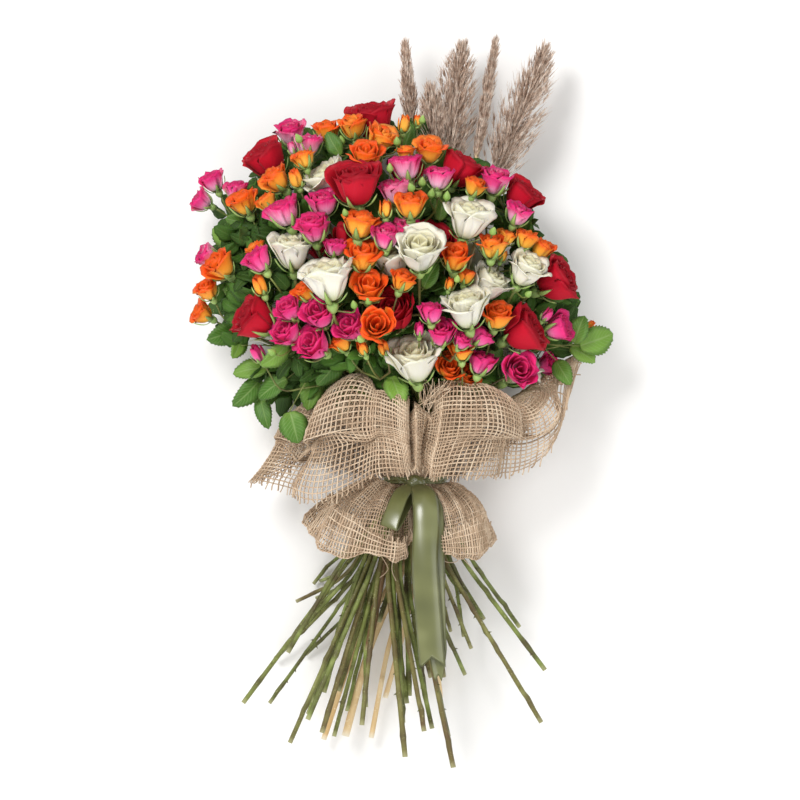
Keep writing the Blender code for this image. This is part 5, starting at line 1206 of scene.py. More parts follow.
# Cut rose stem: green skin with pale lenticels and brown nodes, a pale woody end where it was cut.
def stemMaterial(name, look):
    material, tree = newMaterial(name)
    _, knots, ends, tint, _ = readGrade(tree)
    coordinates = addNode(tree, "TexCoord")
    broad = addNode(tree, "TexNoise", {"Scale": look["broad"], "Detail": 3.0}, {"Vector": coordinates})
    fine = addNode(tree, "TexNoise", {"Scale": look["fine"]}, {"Vector": coordinates})
    skin = addNode(tree, "ValToRGB", {"stops": look["skin"]}, {0: broad})
    brown = addNode(tree, "MapRange", {1: 0.35, 2: 0.95}, {0: tint})
    aged = addNode(tree, "Mix", {"data_type": "RGBA", 7: look["brown"]}, {0: brown, 6: skin})
    knot = addNode(tree, "Math", {"operation": "MULTIPLY", 1: 0.65}, {0: knots})
    marked = addNode(tree, "Mix", {"data_type": "RGBA", 7: look["knot"]}, {0: knot, 6: aged})
    speck = addNode(tree, "MapRange", {1: 0.62, 2: 0.72, 4: 0.5}, {0: fine})
    spotted = addNode(tree, "Mix", {"data_type": "RGBA", 7: look["speck"]}, {0: speck, 6: marked})
    cut = addNode(tree, "Mix", {"data_type": "RGBA", 7: look["cut"]}, {0: ends, 6: spotted})
    bump = addNode(tree, "Bump", {"Strength": 0.35, "Distance": 0.0006}, {"Height": fine})
    return finishMaterial(material, {
        "Roughness": 0.45, "IOR": 1.45, "Specular IOR Level": 0.4,
    }, {"Base Color": cut, "Normal": bump})


stemGreen = {
    "broad": 38.0, "fine": 420.0,
    "skin": ((0.30, "#4C4426"), (0.42, "#5A602C"), (0.56, "#727E3C"), (0.72, "#929C5A")),
    "brown": "#6E5538", "knot": "#4A3B26", "speck": "#A9AE78", "cut": "#B7B486",
}


# One stem, swollen at its nodes and slimmer to the top, with its path and radii.
def stemShape(line, radius, roundness, sides, rng, woody=False):
    path = roundedPath(line["points"], roundness, stemLook["step"])
    count = len(path)
    knots = np.zeros(count)
    at = rng.uniform(2, 6)
    while at < count:
        knots = np.maximum(knots, np.exp(-((np.arange(count) - at) / 0.8) ** 2) * rng.uniform(0.5, 1.0))
        at += rng.uniform(5, 10)
    radii = radius * np.linspace(1.0, 0.72, count) * (1 + stemLook["swell"] * knots) * (1.4 if woody else 1)
    tint = rng.uniform(0, 0.7)
    path = path + knots[:, None] * rng.normal(0, 0.9, (count, 3)) * (1, 1, 0.3)
    shape = tubes(path, radii, sides, knots, 0.7 * (np.arange(count) == 0), 1.0 if woody else tint)
    return shape, path, radii


def thornShapes(path, radii, rng):
    shapes = []
    for k in range(2, len(path) - 3):
        if rng.uniform() > stemLook["thorns"]:
            continue
        along = unit(path[k + 1] - path[k - 1])
        side, _ = axisFrame(along, rng.uniform(0, 6.3))
        root = path[k] + side * radii[k] * 0.7
        tip = root + side * rng.uniform(2.6, 4.2) - along * rng.uniform(0.5, 1.8)
        shapes.append(tubes((root, (root + tip) / 2 + along * 0.3, tip), (1.5, 0.7, 0.12), 4, knots=0.8))
    return shapes


def makeStems(stems, pedicels, leaves, rng):
    shapes = []
    look = stemLook
    # one stem's end has gone woody in the photograph
    woody = min(stems, key=lambda line: lengths(line["points"][0][:2] - photoPlace(*look["woodyEnd"])[:2]))
    slimmest, widest = look["sizes"]
    for line in stems:
        radius = look["slim"] * max(slimmest, min(line["size"], widest))
        shape, path, radii = stemShape(line, radius, look["round"], look["sides"], rng, line is woody)
        shapes += [shape, *thornShapes(path, radii, rng)]
    for line in pedicels:
        radius = bunch["pedicelRadius"] * look["twigSlim"]
        shapes.append(stemShape(line, radius, look["twigRound"], look["twigSides"], rng)[0])
    for leaf in leaves:
        middle = (leaf["root"] + leaf["base"]) / 2 - leaf["normal"] * 2.0
        path = bezier(leaf["root"], middle, middle, leaf["base"], 6)
        shapes.append(tubes(path, np.linspace(*look["stalk"], 6), 5))
    material = stemMaterial("rose stem", stemGreen)
    makePiece("stems_green", together(shapes), material, ["stems"])


# Leaflets in threes that fill the gaps under the heads, each group on a rib from the nearest stem.
fillFoliage = {"spots": 720, "sink": (8, 62), "leaflet": (26, 48), "slim": (0.50, 0.68), "keepOff": 0.5,
               "steps": 9, "lower": 8.0, "longest": 75.0, "wrapGap": 7.0, "rootsFrom": 60.0,
               "heights": (5, 240), "plumeSide": 40.0}

# The photograph's outline of heads and leaves, which the filling leaves stay inside, in pixels.
leafOutline = (
    (194, 215), (200, 190), (222, 176), (244, 184), (248, 158), (264, 140), (282, 124), (318, 124),
    (345, 112), (372, 107), (400, 114), (428, 118), (442, 145), (470, 152), (498, 166), (530, 188),
    (537, 215), (548, 238), (576, 262), (582, 300), (577, 324), (610, 330), (612, 348), (590, 362),
    (574, 382), (545, 390), (500, 394), (440, 394), (400, 410), (330, 424), (285, 446), (262, 440),
    (248, 412), (246, 385), (258, 360), (235, 350), (204, 342), (212, 322), (194, 318), (199, 285),
    (195, 262), (212, 240), (216, 222),
)


# Whether places lie inside a closed outline, both by their x and y.
def insideOutline(places, outline):
    inside = np.zeros(len(places), bool)
    for (x0, y0), (x1, y1) in zip(outline, np.roll(outline, -1, 0)):
        if y0 != y1:
            crosses = (y0 > places[:, 1]) != (y1 > places[:, 1])
            inside ^= crosses & (places[:, 0] < x0 + (x1 - x0) * (places[:, 1] - y0) / (y1 - y0))
    return inside


def growFoliage(blooms, stems, wrap, rng):
    look = fillFoliage
    places = np.array([bloom["place"] for bloom in blooms])
    radii = np.array([bloom["radius"] for bloom in blooms])
    low, high = np.array(cadBox[0]) / millimetre, np.array(cadBox[1]) / millimetre
    roots = np.concatenate([segmentPoints(*stem["points"][[k, k + 1]], 9)
                            for stem in stems for k in (2, 3, 4, 5)])
    roots = roots[roots[:, 1] > look["rootsFrom"]]
    centre = np.array(bunch["domeCentre"])
    outline = np.array([photoPlace(px, py)[:2] for px, py in leafOutline])
    leaflets, ribs = [], []

    def clear(leaf):
        probe = leafPoints(leaf)
        far = lengths(probe[:, None] - places) - radii
        flat = lengths(probe[:, None, :2] - places[:, :2]) - radii
        hides = (flat < 1.0) & (probe[:, None, 2] > places[:, 2] - radii * 0.2)
        if far.min() < look["keepOff"] or hides.any() or probe[:, 2].min() < 3:
            return False
        outside = (probe < low + 2) | (probe > high - 2)
        if outside.any() or not insideOutline(probe[:, :2], outline).all():
            return False
        flat = lengths(probe[:, None, :2] - wrap[:, :2])
        return not ((flat < look["wrapGap"]) & (probe[:, None, 2] > wrap[:, 2] - 4)).any()

    for k in range(1, look["spots"] + 1):
        # an even spread over the dome, each spot some way under the heads; one in four lies on the underside
        a, b = 2 * ((k * 0.7548776662) % 1) - 1, 2 * ((k * 0.5698402910) % 1) - 1
        if a * a + b * b > 1:
            continue
        spot = centre + (a * bunch["domeAcross"], b * (bunch["domeUp"] if b > 0 else bunch["domeDown"]), 0.0)
        out = unit(spot - bunch["focus"])
        under = k % 4 == 0
        spot[2] = rng.uniform(8, 70) if under else domeHeight(*spot[:2]) - rng.uniform(*look["sink"])
        tint = rng.uniform()
        for _ in range(look["steps"]):
            far = lengths(roots - spot)
            far[far < 12] = 1e6
            root = roots[int(far.argmin())]
            way = unit(unit(spot - root) + out * 0.8 + rng.normal(size=3) * 0.3)
            sky = np.array((0.0, 0.0, -1.0 if under else 1.0)) + out * 0.35 + rng.normal(size=3) * 0.32
            normal = unit(sky - way * np.dot(sky, way))
            side = np.cross(normal, way)
            long = rng.uniform(*look["leaflet"])
            mine = []
            for hand in (-1, 0, 1):
                turn = hand * rng.uniform(0.9, 1.25)
                lean = unit(way * math.cos(turn) + side * math.sin(turn))
                tilt = unit(normal + rng.normal(size=3) * 0.22)
                tilt = unit(tilt - lean * np.dot(tilt, lean))
                size = long * (0.8 if hand else 1.0)
                base = spot + lean * 2 - way * (5 if hand else 0)
                leaf = {"middle": base + lean * size / 2, "way": lean, "side": np.cross(tilt, lean),
                        "normal": tilt, "length": size, "width": size * rng.uniform(*look["slim"]),
                        "tint": tint}
                if clear(leaf):
                    mine.append(leaf)
            if len(mine) > 1 and far.min() < look["longest"]:
                leaflets += mine
                ribs.append(np.array((root, (root + spot) / 2 - normal * 2, spot)))
                break
            spot[2] += look["lower"] if under else -look["lower"]
            if not look["heights"][0] < spot[2] < look["heights"][1]:
                break
    return leaflets, ribs


def makeLeaves(blooms, stems, leaves, wrap, rng):
    # a leaf at the upper right would stand in front of the plumes, where the photograph shows none
    shown, edge = len(shownLeaves), fillFoliage["plumeSide"]
    leaves = leaves[:shown] + [leaf for leaf in leaves[shown:] if leaf["middle"][0] < edge]
    makePiece("leaves_shown", leafBlades(leaves, leafBlade["rows"], rng),
              leafMaterial("rose leaf", leafGreen))
    leaflets, ribs = growFoliage(blooms, stems, wrap, rng)
    print("leaflets between the heads:", len(leaflets))
    # the leaflets deep between the heads take the darker green of painted shade
    makePiece("leaves_between", leafBlades(leaflets, leafBlade["sprayRows"], rng),
              leafMaterial("rose leaf with painted shade", shadeDarkLeafGreen))
    paths = [bezier(rib[0], rib[1], rib[1], rib[2], 5) for rib in ribs]
    ribs = tubes(paths, np.linspace(*stemLook["stalk"], 5), 3)
    makePiece("leaf_ribs", ribs, stemMaterial("leaf rib", stemGreen))


budLook = {
    "near": 12, "lift": 4, "lowest": 90.0, "gap": 5.5, "rounds": 30, "sizes": (3.4, 4.4), "stalk": (1.1, 0.9),
}


def makeBuds(blooms, stems, pedicels, rng):
    ends = np.concatenate([line["points"][2:] for line in stems] + [line["points"][1:] for line in pedicels])
    greens, stalks = [], []
    for px, py in greenBuds:
        place = photoPlace(px, py)
        flat = np.array([lengths(bloom["place"][:2] - place[:2]) - bloom["radius"] for bloom in blooms])
        near = [bloom for bloom, gap in zip(blooms, flat) if gap < budLook["near"] and not bloom["fixed"]]
        place[2] = max([bloom["place"][2] for bloom in near] + [budLook["lowest"]]) + budLook["lift"]
        for _ in range(budLook["rounds"]):
            gaps = [lengths(bloom["place"] - place) - bloom["radius"] for bloom in blooms]
            k = int(np.argmin(gaps))
            if gaps[k] > budLook["gap"]:
                break
            push = unit(place - blooms[k]["place"]) * (budLook["gap"] + 0.2 - gaps[k])
            place = place + push * (0.5, 0.5, 1.0)
        axis = unit(unit(place - bunch["focus"]) + rng.normal(size=3) * 0.15)
        bud = {"place": place, "axis": axis, "radius": rng.uniform(*budLook["sizes"])}
        greens.append(budShape(bud, rng))
        foot = place - axis * bud["radius"] * 1.4
        far = lengths(ends - foot)
        far[ends[:, 2] > foot[2] - 8] = 1e6
        root = ends[int(np.argmin(far))]
        reach = lengths(foot - root)
        start = root + unit(foot - root) * reach * 0.3
        stalks.append(bezier(root, start, foot - axis * reach * 0.35, foot, 9))
    makePiece("green_buds", together(greens), leafMaterial("closed bud", calyxGreen))
    stalks = tubes(stalks, np.linspace(*budLook["stalk"], 9), 5)
    makePiece("bud_stalks", stalks, stemMaterial("bud stalk", stemGreen))


# A closed bud: a pointed drop with five seams, where its sepals meet, and a small hip.
def budShape(bud, rng):
    turn = rng.uniform(0, 6.3)
    rows, sides = 12, 20
    s = np.linspace(0, 1, rows)[:, None]
    neck = np.clip((0.2 - s) / 0.2, 0, 1)
    radius = (np.sin(math.pi * s**0.75) ** 0.8 * (1 - 0.25 * s) * 1.12 + 0.04) * (1 - neck) + 0.42 * neck
    angle = np.arange(sides) * 2 * math.pi / sides
    fromSeam = np.abs(np.cos(angle * 2.5))
    radius = radius * (1 - 0.09 * (fromSeam < 0.25) * np.sin(math.pi * s))
    ring = np.stack((np.cos(angle) * radius, np.sin(angle) * radius, -1.25 + 2.9 * s + 0 * angle), -1)
    walls, index = ringWalls(rows, sides)
    grade = np.zeros((rows, sides, 5))
    grade[..., 0] = s
    grade[..., 1] = np.minimum(fromSeam * 4, 1)
    grade[..., 3] = rng.uniform()
    return onHead(bud, ring.reshape(-1, 3), turn), [walls, index[:1, ::-1], index[-1:]], grade.reshape(-1, 5)


# Reed plumes


plumeLook = {
    "strands": (120, 16.0), "rows": 4, "long": (0.18, 0.32), "radius": 0.42, "seeds": 7,
    "seedLong": (6.0, 12.0), "seedWide": 1.5, "widths": (1.2, 1.3, 1.35, 0.8, 1.3),
    "starts": (-0.1, -0.1, -0.1, -0.42, -0.1),
}
reedTones = {
    "broad": 140.0, "fine": 500.0, "skin": ((0.32, "#C0A38F"), (0.5, "#EAD2BE"), (0.68, "#FFF3E6")),
    "brown": "#A08470", "knot": "#A08A76", "speck": "#F0E6D8", "cut": "#D8C8A8",
}
strawTones = {
    "broad": 18.0, "fine": 300.0, "skin": ((0.3, "#C9A772"), (0.5, "#DDC192"), (0.7, "#EBD6AE")),
    "brown": "#A98556", "knot": "#A98556", "speck": "#F0E2C2", "cut": "#F1E6CC",
}


def plumeShape(cane, width, start, rng):
    look = plumeLook
    foot, tip = cane["points"][-2], cane["points"][-1]
    axis = unit(tip - foot)
    long = lengths(tip - foot)
    side, other = axisFrame(axis)
    count = int(look["strands"][0] + look["strands"][1] * cane["wide"])
    share = rng.uniform(start, 1, count)[:, None]
    turn = rng.uniform(0, 6.3, (count, 1))
    out = side * np.cos(turn) + other * np.sin(turn)
    full = np.sin(math.pi * np.clip(0.38 + share * 0.6, 0.2, 1)) ** 0.7
    reach = long * rng.uniform(*look["long"], (count, 1)) * (1.1 - 0.5 * share)
    root = foot + axis * long * share * 0.86 + out * rng.uniform(0, 1.5, (count, 1))
    wide = cane["wide"] * width * full * rng.uniform(0.05, 1.0, (count, 1)) ** 0.45
    end = root + axis * reach + out * wide
    middle = root + axis * reach * 0.4 + out * wide * rng.uniform(0.45, 0.7, (count, 1))
    t = np.linspace(0, 1, look["rows"])[:, None]
    paths = root[:, None] * (1 - t) ** 2 + middle[:, None] * 2 * t * (1 - t) + end[:, None] * t**2
    paths += rng.normal(0, 0.35, paths.shape) * t
    radii = np.linspace(1.0, 0.3, look["rows"]) * look["radius"] * rng.uniform(0.7, 1.2, (count, 1))
    shapes = [tubes(paths, radii, 3, tint=rng.uniform(0, 0.9, (count, 1)))]
    # the seeds: slim pointed husks along each strand
    at = rng.integers(0, look["rows"] - 1, (count, look["seeds"]))
    which = np.repeat(np.arange(count), look["seeds"])
    base = paths[which, at.ravel()]
    ahead = unit(paths[which, at.ravel() + 1] - base)
    lean = unit(ahead * 0.5 + axis * 0.7 + rng.normal(0, 0.16, ahead.shape) + out[which] * 0.12)
    husk = np.stack((base, base + lean * rng.uniform(*look["seedLong"], (len(base), 1))), 1)
    radii = np.array((0.5, 0.08)) * look["seedWide"]
    shapes.append(tubes(husk, radii, 3, tint=rng.uniform(0, 0.9, (len(base), 1))))
    core = foot + axis * (np.linspace(-0.02, 0.93, 9) * long)[:, None]
    shapes.append(tubes(core, np.linspace(cane["size"] * 0.7, 0.6, 9), 6))
    return together(shapes)


caneLook = {"round": 26.0, "step": 8.0, "sides": 9, "knotEach": 9, "waist": 0.8, "foot": 2.0}


def makePlumes(canes, rng):
    reed = stemMaterial("dry reed", reedTones)
    straw = stemMaterial("straw cane", strawTones)
    for index, cane in enumerate(canes):
        shape = plumeShape(cane, plumeLook["widths"][index], plumeLook["starts"][index], rng)
        makePiece(f"reed_plume_{index + 1}_head", shape, reed, [f"reed_plume_{index + 1}"])
        path = roundedPath(cane["points"][:-1], caneLook["round"], caneLook["step"])
        number = np.arange(len(path))
        sizes = (cane["size"], cane["size"] * caneLook["waist"], caneLook["foot"])
        radii = np.interp(number / number[-1], (0, 0.3, 1), sizes)
        shape = tubes(path, radii, caneLook["sides"], 0.8 * (number % caneLook["knotEach"] == 0), number == 0)
        makePiece(f"reed_cane_{index + 1}", shape, straw)


# Burlap wrap


# One square-cut cloth 900 by 330 mm, gathered at the tie, made of its threads in plain weave.
burlap = {
    "cloth": (900.0, 330.0), "warps": 244, "pitch": 3.68, "thread": 0.94, "weave": 0.45, "pleats": 30,
    "wander": 0.35, "fringe": (3.0, 9.0),
    "loops": ((296.0, 38.0, 0.85), (52.0, 26.0, 0.6)),  # the skirt's rolls: angle, spread and amount
}


# How far an angle round the bunch is from another, as a bell from 1 down to 0.
def bell(degrees, middle, spread):
    return np.exp(-(((degrees - middle + 180) % 360 - 180) / spread) ** 2)


# The model's surface, with the skirt's end rolled back toward the tie in two big loops.
def burlapSurface():
    steps = 6
    rough = burlapGrid(burlap["warps"], steps)
    degrees = np.arange(burlap["warps"]) * 360.0 / burlap["warps"]
    turn = np.radians(degrees)
    share = sum(much * bell(degrees, middle, spread) for middle, spread, much in burlap["loops"])
    rough = rough[:, :-2]
    end, along = rough[:, -1], unit(rough[:, -1] - rough[:, -4])
    front = np.clip(np.cos(turn) + 0.6, 0, 1)  # the loops in front roll toward the viewer
    out = np.stack((np.sin(turn) * (1 - 0.6 * front), 0 * turn, np.cos(turn) + 0.9 * front), 1)
    out = unit(out - along * (out * along).sum(1, keepdims=True))
    radius, back = 2.5 + 7.0 * share, 3.0 + 40.0 * share
    roll = [end + along * (radius * math.sin(a))[:, None] + out * (radius * (1 - math.cos(a)))[:, None]
            for a in np.linspace(0.35, math.pi, 9)]
    roll += [roll[-1] - along * (back * t)[:, None] + out * (2.0 * math.sin(3 * t) * share)[:, None]
             for t in np.linspace(0.1, 1, 10)]
    rough = np.concatenate((rough, np.stack(roll, 1)), 1)
    far = np.concatenate(([0], np.cumsum(lengths(np.diff(rough, axis=1)).mean(0))))
    count = int(far[-1] / burlap["pitch"]) + 1
    place = np.linspace(0, far[-1], count)
    at = np.interp(place, far, np.arange(len(far)))
    low = np.minimum(at.astype(int), len(far) - 2)
    part = (at - low)[:, None]
    grid = rough[:, low] * (1 - part) + rough[:, low + 1] * part
    return grid, np.interp(np.interp(6.5 * steps, np.arange(len(far)), far), place, np.arange(count))


def surfaceNormals(grid):
    return unit(np.cross(np.roll(grid, -1, 0) - np.roll(grid, 1, 0), np.gradient(grid, axis=1)))


def pleatedSurface(rng):
    grid, tieRow = burlapSurface()
    columns, rows = grid.shape[:2]
    degrees = np.arange(columns)[:, None] * 360.0 / columns
    turn = np.radians(degrees)
    number = np.arange(rows)
    away = np.abs(number - tieRow) * burlap["pitch"]
    collar = number < tieRow
    # the collar's hem isn't cut along its roll: some of it hangs lower than the rest
    hem = 1 - 0.03 * (1 + np.sin(4 * turn + 2.2)) * 0.5 - 0.04 * (1 + np.sin(9 * turn + 0.7)) * 0.5
    at = np.where(collar, tieRow - (tieRow - number) * hem, number)
    low = np.clip(at.astype(int), 0, rows - 2)
    part = (at - low)[..., None]
    line = np.arange(columns)[:, None]
    grid = grid[line, low] * (1 - part) + grid[line, low + 1] * part
    # the skirt stands up under the collar's hem on both sides
    raised = np.interp(away, (6, 26, 60, 110), (0, 1, 1, 0)) * ~collar
    grid[..., 1] += raised * (16 * bell(degrees, 304, 40) + 9 * bell(degrees, 60, 32))
    # fine pleats that start in the tie
    depth = np.interp(away, (0, 12, 30, 70, 120, 200), (1.2, 2.2, 4.2, 2.8, 1.2, 1.0))
    phase = burlap["pleats"] * turn + 1.7 * np.sin(3 * turn + 1) + 1.2 * np.sin(7 * turn + 2)
    slack = 0.35 * np.sin(phase * 0.37 + away * 0.02 + 1.3)
    shift = depth * (np.sin(phase + away * 0.012) + slack)
    # broad folds with round backs and narrow valleys
    fold = 5 * turn + 0.9 * np.sin(2 * turn + 0.5) + 0.35 * np.sin(5 * turn) + away * 0.0035
    back = 2 * np.sqrt(np.sin(fold) ** 2 + 0.02) - 1.1
    reach = np.where(collar, np.interp(away, (0, 25, 60, 100, 150, 200), (0, 2.5, 7, 12, 14, 14)),
                     np.interp(away, (0, 25, 60, 110, 160), (0, 2.5, 5, 5, 4)))
    shift = shift + reach * back
    # the pleat over the knot with the hollow beside it
    near = np.interp(away, (0, 30, 70, 110, 150), (0, 0.4, 0.5, 1.0, 1.0)) * collar
    shift = shift + near * (9 * bell(degrees, 357, 9) - 20 * bell(degrees, 14, 6) + 6 * bell(degrees, 27, 9))
    # the left side of the collar rolls in on itself above its hem
    tuck = (bell(degrees, 304, 36) + 0.6 * bell(degrees, 58, 24)) * collar
    shift = shift + tuck * np.interp(away, (0, 100, 135, 160, 178, 206), (0, 0, 8, 11, -12, 3))
    grid[..., 1] += tuck * np.interp(away, (90, 160, 178, 210), (0, -14, 13, 2))
    # the hem curls up and down
    edge = np.exp(-number * burlap["pitch"] / 12.0)
    shift = shift + edge * 6.0 * np.sin(8 * turn + 1.2 * np.sin(3 * turn))
    grid = grid + surfaceNormals(grid) * shift[..., None]
    # in front the hem is drawn in toward the knot, so the folds fan out from there
    front = np.clip((grid[..., 2] - 90) / 50, 0, 1)
    drawn = np.interp(away, (50, 100, 190), (0, 0.25, 0.72)) * collar * front
    grid[..., 0] *= 1 - drawn * np.exp(-(grid[..., 0] / 80) ** 2)
    loose = rng.normal(0, 1, grid.shape)
    for _ in range(4):
        loose = (loose + np.roll(loose, 1, 0) + np.roll(loose, -1, 0)) / 3
    grid = grid + loose * burlap["wander"]
    grid[..., 2] = np.maximum(grid[..., 2], 1.6)
    return grid, surfaceNormals(grid), tieRow


# Warp threads along the ribs and weft threads round the bunch, over and under each other. The warp is frayed
# at the first row, or at the last.
def threadShapes(grid, normal, rng, atFirst):
    columns, rows = grid.shape[:2]
    over = np.where((np.arange(columns)[:, None] + np.arange(rows)) % 2 == 0, 1.0, -1.0)[..., None]
    lift = normal * over * burlap["weave"]
    warp = grid + lift
    first, second = (warp[:, 0], warp[:, 1]) if atFirst else (warp[:, -1], warp[:, -2])
    step = unit(first - second) * rng.uniform(*burlap["fringe"], (columns, 1)) * 0.5
    near = first + step + rng.normal(0, 0.5, first.shape)
    tip = near + step + rng.normal(0, 1.0, first.shape)
    ends = [tip[:, None], near[:, None], warp]
    warp = np.concatenate(ends if atFirst else ends[::-1], 1)
    weft = (grid - lift).transpose(1, 0, 2)
    weft = np.concatenate((weft, weft[:, :1]), 1)
    shapes = []
    for threads in (warp, weft):
        threads[..., 2] = np.maximum(threads[..., 2], burlap["thread"])
        each = (len(threads), 1)
        radii = burlap["thread"] * rng.uniform(0.75, 1.25, each)
        shapes.append(tubes(threads, radii, 3, tint=rng.uniform(0, 0.8, each)))
    return together(shapes)


jute = {
    "broad": 45.0, "fine": 900.0, "skin": ((0.3, "#A58A70"), (0.5, "#C2A68A"), (0.7, "#D8C2A8")),
    "brown": "#8A6A4C", "knot": "#8A6A4C", "speck": "#E0CDB2", "cut": "#B89A7A",
}


# Jute: coarse dull fibre, hairy, with paler and browner threads side by side.
def juteMaterial(name, look):
    material, tree = newMaterial(name)
    tint = readGrade(tree)[3]
    coordinates = addNode(tree, "TexCoord")
    broad = addNode(tree, "TexNoise", {"Scale": look["broad"], "Detail": 3.0}, {"Vector": coordinates})
    fine = addNode(tree, "TexNoise", {"Scale": look["fine"], "Detail": 3.0, "Roughness": 0.7},
                   {"Vector": coordinates})
    own = addNode(tree, "Math", {"operation": "MULTIPLY_ADD", 1: 0.5, 2: -0.2}, {0: tint})
    mixed = addNode(tree, "Math", {"operation": "ADD"}, {0: broad, 1: own})
    skin = addNode(tree, "ValToRGB", {"stops": look["skin"]}, {0: mixed})
    hair = addNode(tree, "MapRange", {1: 0.4, 2: 0.75, 4: 0.55}, {0: fine})
    fibre = addNode(tree, "Mix", {"data_type": "RGBA", 7: look["speck"]}, {0: hair, 6: skin})
    bump = addNode(tree, "Bump", {"Strength": 0.6, "Distance": 0.0005}, {"Height": fine})
    return finishMaterial(material, {
        "Roughness": 0.85, "Specular IOR Level": 0.2, "Sheen Weight": 0.2, "Sheen Roughness": 0.6,
        "Sheen Tint": "#E8D8BE",
    }, {"Base Color": fibre, "Normal": bump})


def makeBurlap(rng):
    grid, normal, tieRow = pleatedSurface(rng)
    split = int(tieRow)
    material = juteMaterial("jute hessian", jute)
    upper = threadShapes(grid[:, :split + 1], normal[:, :split + 1], rng, True)
    lower = threadShapes(grid[:, split:], normal[:, split:], rng, False)
    collar = makePiece("burlap_collar", upper, material, ["burlap_wrap"])
    skirt = makePiece("burlap_skirt", lower, material)
    print("burlap threads:", len(collar.data.polygons), len(skirt.data.polygons), "faces")


# Satin ribbon


ribbonLook = {"wide": 30.0, "thick": 0.35, "rows": 70, "columns": 11, "bandGap": 2.6, "bandReach": 4.0}


# Polyester satin: olive green, with a sharp sheen that runs with the ribbon's length.
def satinMaterial(name):
    material, tree = newMaterial(name)
    coordinates = addNode(tree, "TexCoord")
    noise = addNode(tree, "TexNoise", {"Scale": 22.0, "Detail": 1.0}, {"Vector": coordinates})
    tone = addNode(tree, "ValToRGB", {"stops": ((0.3, "#575A34"), (0.55, "#676A40"), (0.75, "#7A7D52"))},
                   {0: noise})
    return finishMaterial(material, {
        "Roughness": 0.27, "IOR": 1.5, "Specular IOR Level": 0.7,
        "Sheen Weight": 0.08, "Sheen Roughness": 0.3, "Sheen Tint": "#D8E0A8",
    }, {"Base Color": tone})


tailFront = ((417, 484, 126), (424, 496, 146), (426, 522, 158), (425, 570, 164), (432, 660, 158))
tailBack = ((417, 484, 124), (430, 502, 137), (434, 530, 150), (435, 590, 157), (438, 676, 150))
loopPath = ((412, 484, 124), (402, 492, 142), (394, 510, 156), (389, 526, 160), (396, 518, 148),
            (406, 498, 132), (413, 485, 122))
loopWay = (0.83, -0.35, 0.43)
knotPlace = (1.0, -3.0, 122.0)
knotSize = (11.0, 9.0, 8.0)


# A length of ribbon along places of the photograph, its width in shares along it, swayed out of its plane.
def stripShape(places, way, wide, widths, sway, notch=0.0):
    rows = ribbonLook["rows"]
    path = splinePath(np.array([photoPlace(*place) for place in places]), rows)
    tangent = unit(np.gradient(path, axis=0))
    across = unit(way - tangent * (tangent @ way)[:, None])
    normal = np.cross(tangent, across)
    share = np.linspace(0, 1, rows)[:, None]
    u = np.linspace(-1, 1, ribbonLook["columns"])
    half = np.interp(share, *zip(*widths)) * wide / 2
    middle = path[:, None] + across[:, None] * (half * u)[..., None]
    middle += normal[:, None] * sway(share, u)[..., None]
    middle += tangent[:, None] * (notch * share**6 * (np.abs(u) - 0.5))[..., None]
    return blades(middle[None], ribbonLook["thick"], (share, u * 0.5 + 0.5, 0, 0))


def makeRibbon():
    material = satinMaterial("olive satin")
    level, wide = np.array((1.0, 0.0, 0.0)), ribbonLook["wide"]
    taper = ((0, 0.45), (0.12, 0.8), (0.3, 1))
    front = stripShape(tailFront, level, wide, (*taper, (1, 1)), lambda s, u: (
        4.6 * (1 - u**2) * np.sin(math.pi * (0.1 + 0.8 * s)) + 1.6 * np.sin(8 * s + 1.2 * u) * s**0.5), 13.0)
    back = stripShape(tailBack, level, wide * 0.8, (*taper, (0.9, 0.9), (1, 0.3)), lambda s, u: (
        2.0 * (1 - u**2) * np.sin(math.pi * s) - 1.8 * np.sin(8 * s - 2 * u) * s**0.5), 7.0)
    swelling = ((0, 0.5), (0.15, 0.9), (0.5, 1.1), (0.85, 0.9), (1, 0.5))
    loop = stripShape(loopPath, np.array(loopWay), wide * 0.7, swelling, lambda s, u: 1 - u**2 + 0 * s)
    # the band round the tie, crushed into folds
    turn = np.linspace(0, 2 * math.pi, 97)[:, None]
    u = np.linspace(-1, 1, ribbonLook["columns"])
    crush = 1.0 * np.sin(turn * 17 + 2 * u) + 0.8 * np.cos(u * 7 + np.sin(turn * 3))
    radius = bunch["waistRadius"] + ribbonLook["bandGap"] + crush
    height = bunch["tieHeight"] + radius * np.cos(turn)
    middle = np.stack((radius * np.sin(turn), ribbonLook["bandReach"] * u + 0 * turn, height), -1)
    band = blades(middle[None], ribbonLook["thick"], (turn / 6.3, u * 0.5 + 0.5, 0, 0))
    bandPiece = makePiece("satin_ribbon_band", band, material)
    tails = makePiece("satin_ribbon_tails", together([front, back]), material,
                      ["satin_ribbon"])
    bow = makePiece("satin_ribbon_bow", together([loop, knotShape()]), material)


# The knot: the ribbon's turns drawn tight, as a flattened ball with folds that run over it.
def knotShape():
    rows, sides = 15, 28
    s = np.linspace(0, math.pi, rows)[:, None]
    turn = np.arange(sides) * 2 * math.pi / sides
    fold = 1 + 0.10 * np.sin(turn * 3 + s * 4) * np.sin(s) + 0.05 * np.sin(turn * 7 - s * 5) * np.sin(s)
    out = np.sin(s) * fold
    ring = np.stack((np.cos(s) + 0 * turn, out * np.cos(turn), out * np.sin(turn)), -1)
    walls, _ = ringWalls(rows, sides)
    points = np.array(knotPlace) + ring.reshape(-1, 3) * knotSize
    return points, [walls[:, ::-1]], np.zeros((rows * sides, 5))


# Binding twine: two turns of jute cord round the stems at the waist, under the wrap.
twine = {"radius": 30.1, "thick": 2.2}


